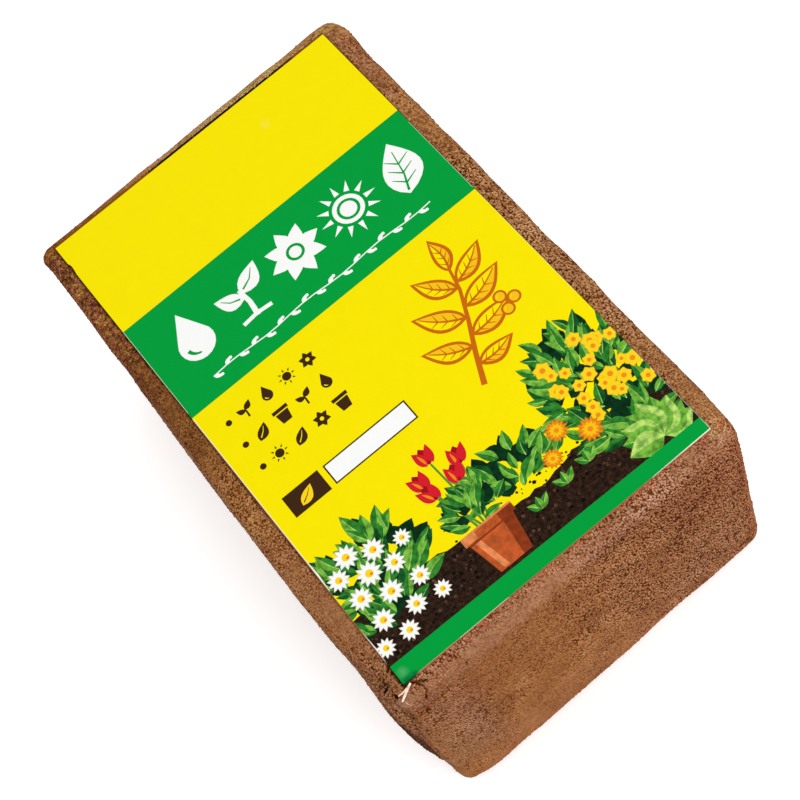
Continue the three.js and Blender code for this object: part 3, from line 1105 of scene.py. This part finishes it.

# %% [markdown]
# ## The paper label: the sheet
#
# The triangles become the top of the sheet. Each corner of a face keeps its ink in a colour attribute,
# which has no pixels and so stays sharp at any distance. Its alpha says what texture the ink has: none at
# 1, and less for clay, leaves and soil. The near left corner is bent up a little, as on the real one, where
# the paste has let go. The edge is then extruded down by the paper's thickness, and once more outward, as a
# thin ledge that carries a painted shadow, the dark line of the gap under the sheet's edge. It is wider
# beyond the far edge and lies lower at the foot.

# %% Build the sheet
CORNER_LIFT = 0.45
LIFT_REACH = 8.0
# the ledge round the sheet, which carries a painted shadow line
SHADOW_LINE_WIDTH = 0.22
SHADOW_LINE_WIDTH_FAR = 1.0
SHADOW_LINE_DROP = 0.06
SHADOW_LINE_DROP_FOOT = 0.3
HALF_WIDTH = 44
SHEET_LENGTH = 154
TEXTURED_INKS = {"soil": 0.0, "leaf": 0.5, "clay": 0.8}

lifted_corner = Vector(SHEET_CORNERS[0])
paper_top, paper_foot = label_high.z / MM, label_low.z / MM


def sheet_height(u, v):
    """How far the sheet stands above its flat place, in millimetres."""
    share = max(0.0, 1 - (Vector((u, v)) - lifted_corner).length / LIFT_REACH)
    waves = 0.02 * math.sin(0.21 * u + 1.3) * math.sin(0.13 * v)
    return CORNER_LIFT * share * share + waves


used = sorted({index for triangle, _ in kept for index in triangle})
number = {index: k for k, index in enumerate(used)}
spots = [(*((sheet_middle + corners[index]) * MM), (paper_top + sheet_height(*corners[index])) * MM)
         for index in used]
mesh = bpy.data.meshes.new("paper_sheet")
mesh.from_pydata(spots, [], [[number[index] for index in triangle] for triangle, _ in kept])
inks = mesh.color_attributes.new("ink", "FLOAT_COLOR", "CORNER")
names = [printed[layer][0] for _, layer in kept]
colours = [(*INKS[name], TEXTURED_INKS.get(name.split()[0], 1.0)) for name in names]
colours = np.array(colours, dtype=np.float32)
inks.data.foreach_set("color", np.repeat(colours, 3, axis=0).ravel())
label = bpy.data.objects.new("paper_sheet", mesh)
bpy.context.scene.collection.objects.link(label)

only(label)
bpy.context.tool_settings.mesh_select_mode = (False, True, False)
bpy.ops.object.mode_set(mode="EDIT")
bpy.ops.mesh.select_all(action="SELECT")
bpy.ops.mesh.normals_make_consistent(inside=False)
bpy.ops.mesh.region_to_loop()
# down by the paper's thickness, then the ledge for the painted shadow line
for drop_by in (paper_top - paper_foot, SHADOW_LINE_DROP):
    bpy.ops.mesh.extrude_edges_move(TRANSFORM_OT_translate={"value": (0, 0, -drop_by * MM)})
stretch = (SHADOW_LINE_WIDTH + SHADOW_LINE_WIDTH_FAR) / SHEET_LENGTH
unmoved = sheet_middle[1] - SHEET_LENGTH / 2 - 0.1 + SHADOW_LINE_WIDTH / stretch
bpy.ops.transform.resize(value=(1 + SHADOW_LINE_WIDTH / HALF_WIDTH, 1 + stretch, 1),
                         center_override=(sheet_middle[0] * MM, unmoved * MM, paper_foot * MM))
bpy.ops.mesh.edge_face_add()
bpy.ops.object.mode_set(mode="OBJECT")
on_ring = np.empty(len(label.data.vertices), dtype=bool)
label.data.vertices.foreach_get("select", on_ring)
places = vectors(label.data.vertices, "co") / MM
footward = ease(sheet_middle[1] - places[:, 1], 74, 77)
places[:, 2] -= (SHADOW_LINE_DROP_FOOT - SHADOW_LINE_DROP) * on_ring * footward
label.data.vertices.foreach_set("co", (places * MM).ravel())
print("The sheet is", [round(side / MM, 2) for side in label.dimensions], "mm")

# %% [markdown]
# ## The paper label: its cut edge
#
# The faces that the print doesn't cover are the cut edge of the paper and the ledge round it. Most are
# painted dark as the shadow under the sheet's edge, and coir coloured where light coir lies against them.
# Along parts of the foot the cut edge shows white or pale. Under the lifted near left corner the painted
# shadow is nearly black. A painted black shadow line lies beyond the middle of the far edge and fades to
# gold at both ends.

# %% Ink the cut edge
middles, normals = face_places(label)
u, v = (middles[:, :2] - sheet_middle).T
unprinted = np.arange(len(middles)) >= len(kept)
at_foot, at_far = unprinted & (v < -76.9), unprinted & (v > 76.6)
foot_edge = at_foot & (np.abs(normals[:, 2]) < 0.2)
corner_shadow_to, pale_to, white_to, white_from = FOOT_CHANGES
shadow_right, deep_shadow_right, *_, deep_shadow_left, shadow_left = FAR_CHANGES
# painted shadow on the cut edge and the ledge round it, coir coloured or pale in places
edge_inks = [
    ("edge dust", unprinted),
    ("edge coir", at_foot | (unprinted & (u < -43) & (v < 10))),
    ("edge pale", foot_edge & (u < white_to)),
    ("bare paper", foot_edge & ((u > white_from) | ((u > pale_to) & (u < white_to)))),
    # painted shadow, nearly black, under the lifted corner
    ("soil dark", unprinted & (u < corner_shadow_to) & (v < -70.5)),
    ("edge gold", at_far),
    ("edge dust", at_far & (u > shadow_left) & (u < shadow_right)),
    ("edge dark", at_far & (u > deep_shadow_left) & (u < deep_shadow_right)),
]
corners_of = [len(face.vertices) for face in label.data.polygons]
inks = label.data.color_attributes["ink"]
colours = np.empty(4 * len(label.data.loops), dtype=np.float32)
inks.data.foreach_get("color", colours)
colours = colours.reshape(-1, 4)
for name, faces in edge_inks:
    colours[np.repeat(faces, corners_of)] = (*INKS[name], 1.0)
inks.data.foreach_set("color", colours.ravel())
bpy.ops.object.shade_smooth_by_angle(angle=math.radians(40))
print("Unprinted faces:", int(unprinted.sum()))

# %% [markdown]
# ## Finishes: helpers
#
# Every finish is a small network of nodes on Object coordinates, which are metres on the piece itself, so a
# pattern stays put from every side. `add_node` makes a node and fills its inputs, each with a value or with
# another node's output. The rest are the few nodes that every finish uses. A Mix node has sockets for
# numbers, vectors and colours under the same names, so the colour ones are picked by number.

# %% Helpers for nodes
WHITE = (1.0, 1.0, 1.0, 1.0)


def add_node(tree, kind, inputs=None, **settings):
    """Adds a node to a tree. Inputs are named or numbered, and each gets a value or another node's output."""
    node = tree.nodes.new(kind)
    for name, value in settings.items():
        setattr(node, name, value)
    for name, value in (inputs or {}).items():
        if isinstance(value, bpy.types.NodeSocket):
            tree.links.new(value, node.inputs[name])
        else:
            node.inputs[name].default_value = value
    return node


def math_node(tree, operation, first, second=0.5):
    return add_node(tree, "ShaderNodeMath", {0: first, 1: second}, operation=operation).outputs[0]


def vector_node(tree, operation, first, second):
    node = add_node(tree, "ShaderNodeVectorMath", {0: first, 1: second}, operation=operation)
    return node.outputs["Value" if operation == "DISTANCE" else "Vector"]


def slope(tree, value, low, high, start=0.0, end=1.0):
    """Maps a value from one range to another, held at both ends."""
    inputs = {"Value": value, "From Min": low, "From Max": high, "To Min": start, "To Max": end}
    return add_node(tree, "ShaderNodeMapRange", inputs, clamp=True).outputs[0]


def noise(tree, place, scale, detail, roughness=0.5):
    """Soft noise, with so many patches to a metre."""
    inputs = {"Vector": place, "Scale": scale, "Detail": detail, "Roughness": roughness}
    return add_node(tree, "ShaderNodeTexNoise", inputs).outputs["Fac"]


def blend_colours(tree, share, first, second, how="MIX"):
    """Mixes two colours by a share from 0 to 1."""
    inputs = {0: share, 6: first, 7: second}
    return add_node(tree, "ShaderNodeMix", inputs, data_type="RGBA", blend_type=how).outputs[2]


def colour_scale(tree, value, stops):
    """A colour ramp from stops of (position, colour)."""
    ramp = add_node(tree, "ShaderNodeValToRGB", {"Fac": value})
    elements = ramp.color_ramp.elements
    while len(elements) < len(stops):
        elements.new(0.5)
    for element, (position, colour) in zip(elements, stops):
        element.position = position
        element.color = (*colour, 1.0)
    return ramp.outputs["Color"]


def attribute(tree, name):
    return add_node(tree, "ShaderNodeAttribute", attribute_name=name).outputs


def new_group(name, inputs, outputs):
    """A shader node group with named sockets. Gives its tree, the values given to it and its results."""
    tree = bpy.data.node_groups.new(name, "ShaderNodeTree")
    for socket, (kind, value) in inputs.items():
        made = tree.interface.new_socket(socket, in_out="INPUT", socket_type="NodeSocket" + kind)
        if value is not None:
            made.default_value = value
    for socket, kind in outputs.items():
        tree.interface.new_socket(socket, in_out="OUTPUT", socket_type="NodeSocket" + kind)
    return tree, tree.nodes.new("NodeGroupInput").outputs, tree.nodes.new("NodeGroupOutput").inputs


def new_material(name, roughness, specular):
    """A material, its tree, and the Object coordinates of the piece."""
    material = bpy.data.materials.new(name)
    material.use_nodes = True
    tree = material.node_tree
    shader = tree.nodes["Principled BSDF"].inputs
    shader["Roughness"].default_value = roughness
    shader["Specular IOR Level"].default_value = specular
    return material, tree, add_node(tree, "ShaderNodeTexCoord").outputs["Object"]


def give_finish(pieces, material, colour, height, strength, depth):
    """Gives pieces a material of a colour, with a fine bump so many millimetres deep."""
    tree = material.node_tree
    shader = tree.nodes["Principled BSDF"].inputs
    tree.links.new(colour, shader["Base Color"])
    bump = add_node(tree, "ShaderNodeBump", {"Strength": strength, "Distance": depth * MM, "Height": height})
    tree.links.new(bump.outputs["Normal"], shader["Normal"])
    for piece in pieces:
        piece.data.materials.clear()
        piece.data.materials.append(material)
    print("Mixed", material.name, "for", [piece.name for piece in pieces])


# %% [markdown]
# ## Finishes: where the pressed coir differs
#
# No two places on the brick have the same tone. The tables below say where each change lies, as ranges
# along X, Y and Z in millimetres, and how strong it is. Two numbers are where a change starts and where it
# is full. Four numbers rise between the first two and fall between the last two. Tints multiply the colour:
# the crumbling rim under the label's foot is paler and rosier, the bottom edge more orange, the far part of
# the left margin darker and more golden, and the hollow that the flake has left gets painted shade, as it
# faces away from the light. Mottles are soft patches of two tones. Contrast is that of the fine grain, and
# the last tables are for its pits.

# %% Say where the coir is paler, darker, rougher or smoother
ANY = ()
END = (-77, -80)
FAR_END = (77.4, 78)
FAR_TOP = (71.5, 72.8)
LEFT = (-43, -44)
RIGHT = (43, 44)
UP = (71, 73)
CRACKED = (-30, -38, -44, -47)
PLAIN = (1, 1, 1)
PLACE_TINTS = [
    # the near end: its rim, the middle, the bottom and both sides
    (ANY, (-76.6, -77.4), (69, 72), (1.03, 1.17, 1.66)),
    ((-36, -28), (-77.5, -80), (20, 34, 69, 72), (0.95, 0.93, 0.86)),
    ((24, 30), END, (36, 46, 68, 72), (0.94, 0.88, 0.89)),
    ((-30, -24, -8, 0), END, (10, 18, 36, 46), (1.12, 1.17, 1.14)),
    ((-22, -28), END, (46, 54, 68, 72), (0.92, 0.88, 0.9)),
    ((-26, -31), (-80, -81), (66, 69, 72, 73), (0.86, 0.82, 0.84)),
    ((2, 5, 22, 30), (-80, -80.6), (66, 69, 71.5, 73), (0.86, 0.82, 0.86)),
    (ANY, END, (22, 4), (1.09, 1.19, 1.42)),
    ((-28, -36), END, (14, 26, 60, 68), (0.98, 1.11, 1.46)),
    (ANY, END, (6, 1.5), (1.06, 0.97, 0.82)),
    ((46, 50.5), (-70, -78), ANY, (1.1, 0.94, 0.72)),
    ((44, 50), END, ANY, (0.92, 0.9, 0.95)),
    ((8, 38), END, (71, 66), (0.94, 0.92, 0.94)),
    ((-36, -45), END, (70, 60), (1.0, 0.98, 0.85)),
    # the hollow that the flake has left: painted shade, as it faces away from the light
    ((-48.1, -48.4), (-65, -74), (14, 26, 46, 54), (0.3, 0.2, 0.15)),
    # the strip beyond the far edge
    ((-34, -28, -14, -8), FAR_END, FAR_TOP, (0.86, 0.84, 0.8)),
    ((-14, -8, 8, 14), FAR_END, FAR_TOP, (0.88, 1.02, 1.2)),
    ((8, 14, 28, 34), FAR_END, FAR_TOP, (1.0, 1.36, 1.5)),
    ((28, 36), FAR_END, FAR_TOP, (0.76, 0.76, 0.8)),
    ((-34, -14), FAR_END, FAR_TOP, (1.55, 1.95, 1.95)),
    ((-14, -34), FAR_END, FAR_TOP, (0.9, 0.8, 0.66)),
    # the right margin
    ((43.5, 44.5), (40, 62, 74, 79), (70, 73), (0.92, 0.88, 1.02)),
    (RIGHT, ANY, UP, (1.12, 1.28, 1.32)),
    # the left margin
    ((-43.2, -44), (-8, 4, 36, 46), (66, 71), (0.68, 0.65, 0.56)),
    ((-46.4, -48.4), (0, 40), (66, 71), (0.86, 0.74, 0.84)),
    (LEFT, ANY, UP, (1.14, 1.26, 1.22)),
    (LEFT, (-60, -10), UP, (0.9, 0.88, 0.74)),
    (LEFT, (20, 60), UP, (0.76, 0.76, 0.68)),
    (LEFT, (-20, -45), UP, (0.95, 0.97, 1.2)),
]
MOTTLES = [
    ((-42, -44), (-10, 50), UP, 1.3,
     [(0.38, (0.52, 0.42, 0.56)), (0.5, (0.95, 0.9, 0.9)), (0.64, (1.4, 1.42, 1.4))]),
    ((-42, -44), (10, 40), (66, 71), 1.2,
     [(0.38, (0.92, 0.72, 1.4)), (0.5, PLAIN), (0.62, (1.05, 1.12, 0.8))]),
    (RIGHT, (-10, 20), UP, 0.8, [(0.36, (0.7, 0.62, 0.68)), (0.5, PLAIN), (0.66, (1.3, 1.3, 1.1))]),
    (ANY, (-76, -76.3, -77.6, -78.8), UP, 0.85,
     [(0.36, (1.3, 0.74, 0.86)), (0.5, (1.06, 1.06, 1.06)), (0.62, (0.96, 1.12, 0.9))]),
    (ANY, (-77, -79), (15, 6), 2.2, [(0.5, PLAIN), (0.58, (1.05, 0.97, 0.88)), (0.66, (1.18, 0.96, 0.7))]),
    ((44, 48.5), (-76, -79), ANY, 2.0, [(0.5, PLAIN), (0.58, (1.05, 0.95, 0.85)), (0.66, (1.35, 0.9, 0.55))]),
    (ANY, (77, 77.6), ANY, 0.8, [(0.36, (1.1, 0.8, 0.95)), (0.5, PLAIN), (0.62, (0.9, 1.02, 0.8))]),
]
CONTRAST_PLACES = [
    ((0, 30), END, (72, 66), 1.6), (ANY, END, (26, 6), 0.75), ((8, -12), END, ANY, 0.6),
    ((-30, -38), END, ANY, 0.85), ((26, 12), END, (40, 26), 0.7), ((14, 26), (-76.5, -77), (70, 72), 1.2),
    (ANY, (-77, -77.8), (68, 71), 0.8), (ANY, FAR_END, FAR_TOP, 0.6),
    (RIGHT, (8, 26), (70, 73), 0.5), (RIGHT, (-46, -60), (70, 73), 0.8),
    (LEFT, (-6, 4, 36, 46), UP, 0.65), (LEFT, (44, 54), UP, 0.75), (LEFT, (-10, -50), UP, 0.5),
]
PIT_PLACES = [
    (ANY, ANY, (69, 72), 0.4), ((43, 45), (-45, -25, 20, 40), ANY, 2.6), (ANY, END, (28, 8), 0.6),
    ((10, -12), END, ANY, 0.5), (CRACKED, END, ANY, 3.1),
]
GAP_PLACES = [(CRACKED, END, ANY, 0.42)]
print("Tints:", len(PLACE_TINTS), "and mottles:", len(MOTTLES))

# %% [markdown]
# ## Finishes: the tone of pressed coir
#
# The brick and its loose grains share one node group. It gives the brown of the pith at each place on the
# brick, mottled from reddish brown to tan in soft patches, with the tints and mottles laid over it. A
# second output is the fine grain, for salt and pepper, with painted light in it. It comes from noise and
# from granules half a millimetre wide: the spaces between them get painted shade, and a second look at
# the same granules from a point a little towards the light gives one side of each a painted highlight and
# the other painted shade, as an emboss does. The third output is how strong the grain is at each place.

# %% Build the coir tone group
COIR_TONES = [(0.28, srgb(134, 85, 51)), (0.5, srgb(150, 100, 63)), (0.74, srgb(166, 116, 76))]
GRANULE_SPACING = 0.54
GRANULE_STRETCH = (1.0, 1.0, 0.7)
# a painted emboss: how far towards the light the granules are looked at again, and how strong its painted
# highlight and shade are
TOWARDS_LIGHT = (0.00008, 0.00006, 0.00015)
EMBOSS_LIGHT = 2.0

coir_tone, given, result = new_group(
    "coir tone", {"Vector": ("Vector", None), "Patch Size": ("Float", 6.0), "Grain Size": ("Float", 0.5)},
    {"Colour": "Color", "Grain": "Float", "Contrast": "Float"},
)
axes = list(add_node(coir_tone, "ShaderNodeSeparateXYZ", {0: given["Vector"]}).outputs)


def times(first, second):
    return math_node(coir_tone, "MULTIPLY", first, second)


def place_share(ranges):
    """1 where every axis is at the full part of its range, 0 where any is outside it."""
    share = 1.0
    for axis, edges in zip(axes, ranges):
        for start, full in zip(edges[:1] + edges[3:], edges[1:3]):
            share = times(share, slope(coir_tone, axis, start * MM, full * MM))
    return share


def place_factor(table):
    """The product of a table's factors, each in force where its place is."""
    product = 1.0
    for *ranges, factor in table:
        change = times(place_share(ranges), factor - 1)
        product = times(product, math_node(coir_tone, "ADD", change, 1.0))
    return product


def from_granule(shift):
    """How far a point is from the middle of its granule, when all points are moved a little."""
    moved = vector_node(coir_tone, "ADD", given["Vector"], shift)
    moved = vector_node(coir_tone, "MULTIPLY", moved, GRANULE_STRETCH)
    inputs = {"Vector": moved, "Scale": 1 / (GRANULE_SPACING * MM)}
    return add_node(coir_tone, "ShaderNodeTexVoronoi", inputs).outputs["Distance"]


def tint_over(tone, ranges, tint):
    """Multiplies a tone by a tint in one place."""
    tinted = blend_colours(coir_tone, 1.0, tone, tint, "MULTIPLY")
    return blend_colours(coir_tone, place_share(ranges), tone, tinted)


patch_scale = math_node(coir_tone, "DIVIDE", 1000.0, given["Patch Size"])
tone = colour_scale(coir_tone, noise(coir_tone, given["Vector"], patch_scale, 6.0, 0.62), COIR_TONES)
for *ranges, tint in PLACE_TINTS:
    tone = tint_over(tone, ranges, (*tint, 1.0))
for *ranges, size, stops in MOTTLES:
    mottle = colour_scale(coir_tone, noise(coir_tone, given["Vector"], 1 / (size * MM), 1.0), stops)
    tone = tint_over(tone, ranges, mottle)
coir_tone.links.new(tone, result["Colour"])

grain_scale = math_node(coir_tone, "DIVIDE", 1000.0, given["Grain Size"])
speckle = slope(coir_tone, noise(coir_tone, given["Vector"], grain_scale, 2.0, 0.6), 0.32, 0.68)
away = from_granule((0.0, 0.0, 0.0))
# painted shade between the granules, and the painted emboss highlight and shade on their sides
gap_shade = times(slope(coir_tone, away, 0.57, 0.73, 0.1, -1.1), place_factor(GAP_PLACES))
lit = times(math_node(coir_tone, "SUBTRACT", from_granule(TOWARDS_LIGHT), away), EMBOSS_LIGHT)
granules = times(math_node(coir_tone, "ADD", gap_shade, lit), place_factor(PIT_PLACES))
coir_tone.links.new(math_node(coir_tone, "ADD", speckle, granules), result["Grain"])

zones = slope(coir_tone, noise(coir_tone, given["Vector"], 90.0, 1.0), 0.38, 0.62, 0.7, 1.35)
coir_tone.links.new(times(zones, place_factor(CONTRAST_PLACES)), result["Contrast"])
print("The coir tone group has", len(coir_tone.nodes), "nodes")

# %% [markdown]
# ## Finishes: hollows and tops
#
# A second shared group uses the `relief` that the skin and its grains carry, in millimetres in or out.
# Hollows get painted shade and dark dust, and the tops a painted highlight. It multiplies a colour by a
# shade that follows the relief and the fine grain together. Dark coir is redder than pale coir, so green
# falls faster than red, and blue fastest.

# %% Build the relief shading group
HOLLOW_SHADE = 0.22
TOP_SHADE = 1.34
GRAIN_RELIEF = 0.7
COLOUR_POWERS = {"Red": 1.0, "Green": 1.5, "Blue": 2.3}

relief_shade, given, result = new_group(
    "relief shade", {"Colour": ("Color", None), "Relief": ("Float", 0.0), "Grain": ("Float", 0.5),
                     "Contrast": ("Float", 1.0)},
    {"Colour": "Color"},
)
stirred = math_node(relief_shade, "SUBTRACT", given["Grain"], 0.5)
stirred = math_node(relief_shade, "MULTIPLY", stirred, GRAIN_RELIEF)
height = math_node(relief_shade, "ADD", given["Relief"], stirred)
height = math_node(relief_shade, "MULTIPLY", height, given["Contrast"])
# painted shade in the hollows and a painted highlight on the tops
shade = slope(relief_shade, height, -0.37, 0.3, HOLLOW_SHADE, TOP_SHADE)
powers = {name: math_node(relief_shade, "POWER", shade, power) for name, power in COLOUR_POWERS.items()}
shade_colour = add_node(relief_shade, "ShaderNodeCombineColor", powers).outputs[0]
shaded = blend_colours(relief_shade, 1.0, given["Colour"], shade_colour, "MULTIPLY")
relief_shade.links.new(shaded, result["Colour"])
print("Hollows at", HOLLOW_SHADE, "and tops at", TOP_SHADE, "of the tone")

# %% [markdown]
# ## Finishes: the skin and its loose grains
#
# Both take the coir tone, shaded by its relief, and a fine bump on top for what is smaller than their
# cells. Dry pith has hardly any gloss. Each loose grain also has its own `tint` from 0 to 1. Most are the
# brown of the place they lie in, some are dark, a few are tan, rosy or gold, as husk is, so its colour is
# the coir tone multiplied by a scale of these.

# %% Mix the coir skin and the grains
GRAIN_SCALE = [
    (0.0, (0.5, 0.34, 0.2)), (0.22, (0.74, 0.63, 0.5)), (0.5, (1.0, 1.0, 1.0)), (0.78, (1.16, 1.26, 1.42)),
    (0.9, (1.32, 1.5, 1.9)), (0.95, (1.35, 1.05, 1.1)), (1.0, (1.5, 1.8, 2.4)),
]


def mix_coir(name, pieces, fine, strength, depth, with_tint=False):
    """A finish of pressed coir with its own fine bump, for pieces that may carry a tint."""
    material, tree, place = new_material(name, 0.95, 0.04)
    inputs = {"Vector": place, "Patch Size": 7.0, "Grain Size": 0.36}
    tone = add_node(tree, "ShaderNodeGroup", inputs, node_tree=coir_tone).outputs
    colour = tone["Colour"]
    if with_tint:
        own = colour_scale(tree, attribute(tree, "tint")["Fac"], GRAIN_SCALE)
        own = blend_colours(tree, tone["Contrast"], WHITE, own)
        colour = blend_colours(tree, 1.0, colour, own, "MULTIPLY")
    inputs = {"Colour": colour, "Relief": attribute(tree, "relief")["Fac"], "Grain": tone["Grain"],
              "Contrast": tone["Contrast"]}
    shaded = add_node(tree, "ShaderNodeGroup", inputs, node_tree=relief_shade).outputs["Colour"]
    give_finish(pieces, material, shaded, noise(tree, place, *fine), strength, depth)


mix_coir("pressed coir", [brick], (3600.0, 3.0, 0.7), 0.3, 0.12)
mix_coir("coir grains", crumbs, (4200.0, 2.0), 0.25, 0.1, with_tint=True)

# %% [markdown]
# ## Finishes: the fibres
#
# Husk fibres are straw coloured and a little silky. A noise gives them darker stretches. The torn sliver at
# the corner is fresh, so it is much paler.

# %% Mix the fibres
OLD_STRAW = [(0.3, srgb(142, 100, 68)), (0.5, srgb(182, 138, 100)), (0.7, srgb(208, 170, 132))]
TORN_STRAW = [(0.3, srgb(200, 150, 122)), (0.5, srgb(240, 206, 180)), (0.7, srgb(254, 232, 214))]
TORN_PLACE = Vector((-43.5, -77.6, 73.5)) * MM

coir_fibre, tree, place = new_material("husk fibre", 0.6, 0.35)
streaks = noise(tree, place, 900.0, 3.0)
torn = slope(tree, vector_node(tree, "DISTANCE", place, TORN_PLACE), 3.6 * MM, 3.2 * MM)
old, fresh = (colour_scale(tree, streaks, stops) for stops in (OLD_STRAW, TORN_STRAW))
give_finish([fibres], coir_fibre, blend_colours(tree, torn, old, fresh), streaks, 0.3, 0.05)

# %% [markdown]
# ## Finishes: the printed paper
#
# The paper is smooth and coated, with a soft sheen. Its colour is the ink attribute, with the slight
# cloudiness of offset print. Where the attribute's alpha says leaf or soil, a second noise prints veins or
# crumbs into the ink. At the near left corner, where the sheet has let go, a milky patch is a painted
# sheen on the bent paper, and the tip that curls away from the light gets painted shade. One spot of paste
# on the yellow is a little paler.

# %% Mix the printed paper
SHEEN_PALE_GREEN = (*srgb(124, 176, 142), 1.0)
CURLED_SHADE_GREEN = (*srgb(4, 78, 44), 1.0)
PASTE_GREY = (*srgb(200, 186, 186), 1.0)
INK_TEXTURES = [
    ((1.0, 0.6), (620.0, 3.0),
     [(0.34, (0.5, 0.56, 0.5)), (0.5, (0.95, 0.96, 0.9)), (0.66, (1.45, 1.25, 1.3))]),
    ((0.4, 0.1), (900.0, 6.0, 0.75),
     [(0.36, (0.2, 0.2, 0.16)), (0.52, (0.85, 0.8, 0.74)), (0.64, (2.1, 1.6, 1.25))]),
]

corner_at = Vector(sheet_middle * MM) + lifted_corner * MM
print_paper, tree, place = new_material("printed paper", 0.45, 0.02)
grey = slope(tree, noise(tree, place, 260.0, 4.0), 0.3, 0.7, 0.74, 0.755)
cloud = add_node(tree, "ShaderNodeCombineColor", {0: grey, 1: grey, 2: grey}).outputs[0]
ink_attribute = attribute(tree, "ink")
plain = blend_colours(tree, 1.0, ink_attribute["Color"], cloud, "MULTIPLY")
inked = plain
for reach, pattern, stops in INK_TEXTURES:
    pattern = colour_scale(tree, noise(tree, place, *pattern), stops)
    textured = blend_colours(tree, 1.0, plain, pattern, "MULTIPLY")
    inked = blend_colours(tree, slope(tree, ink_attribute["Alpha"], *reach), inked, textured)
ragged_border = slope(tree, noise(tree, place, 450.0, 2.0), 0.3, 0.7)


def near_spot(spot, reach):
    """1 at a spot on the sheet and 0 beyond its reach, with a ragged border."""
    away = vector_node(tree, "DISTANCE", place, (*spot, label_high.z))
    ragged = math_node(tree, "MULTIPLY", ragged_border, 0.35 * reach)
    return slope(tree, math_node(tree, "ADD", away, ragged), reach, 0.3 * reach)


def stain(inked, share, strength, colour):
    """Covers the ink with another colour, as strongly as given."""
    return blend_colours(tree, math_node(tree, "MULTIPLY", share, strength), inked, colour)


in_strip = slope(tree, add_node(tree, "ShaderNodeSeparateXYZ", {0: place}).outputs["Y"],
                 corner_at.y + 5.2 * MM, corner_at.y + 4.8 * MM)
# painted sheen on the bent corner
rubbed = near_spot(corner_at + Vector((1.5, 2.4)) * MM, 2.3 * MM)
inked = stain(inked, math_node(tree, "MULTIPLY", rubbed, in_strip), 0.3, SHEEN_PALE_GREEN)
# painted shade on the tip that curls away from the light
for along, reach in ((0.9, 1.9), (2.2, 1.9), (3.6, 1.3)):
    inked = stain(inked, near_spot(corner_at + Vector((along, 0.1)) * MM, reach * MM), 0.85, CURLED_SHADE_GREEN)
inked = stain(inked, near_spot(Vector((18.0, 66.4)) * MM, 2.2 * MM), 0.06, PASTE_GREY)
give_finish([label], print_paper, inked, noise(tree, place, 2400.0, 2.0), 0.12, 0.03)

# %% [markdown]
# ## Put the pieces on the frame
#
# Every piece is attached to the body it rides on, and the imported solids that the pieces stand for are
# hidden.

# %% Place the pieces on the frame and hide the imported solids
for piece in [brick, fibres, *crumbs]:
    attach(piece, "root")
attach(label, "root")
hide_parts("coir_block")
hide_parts("paper_label")
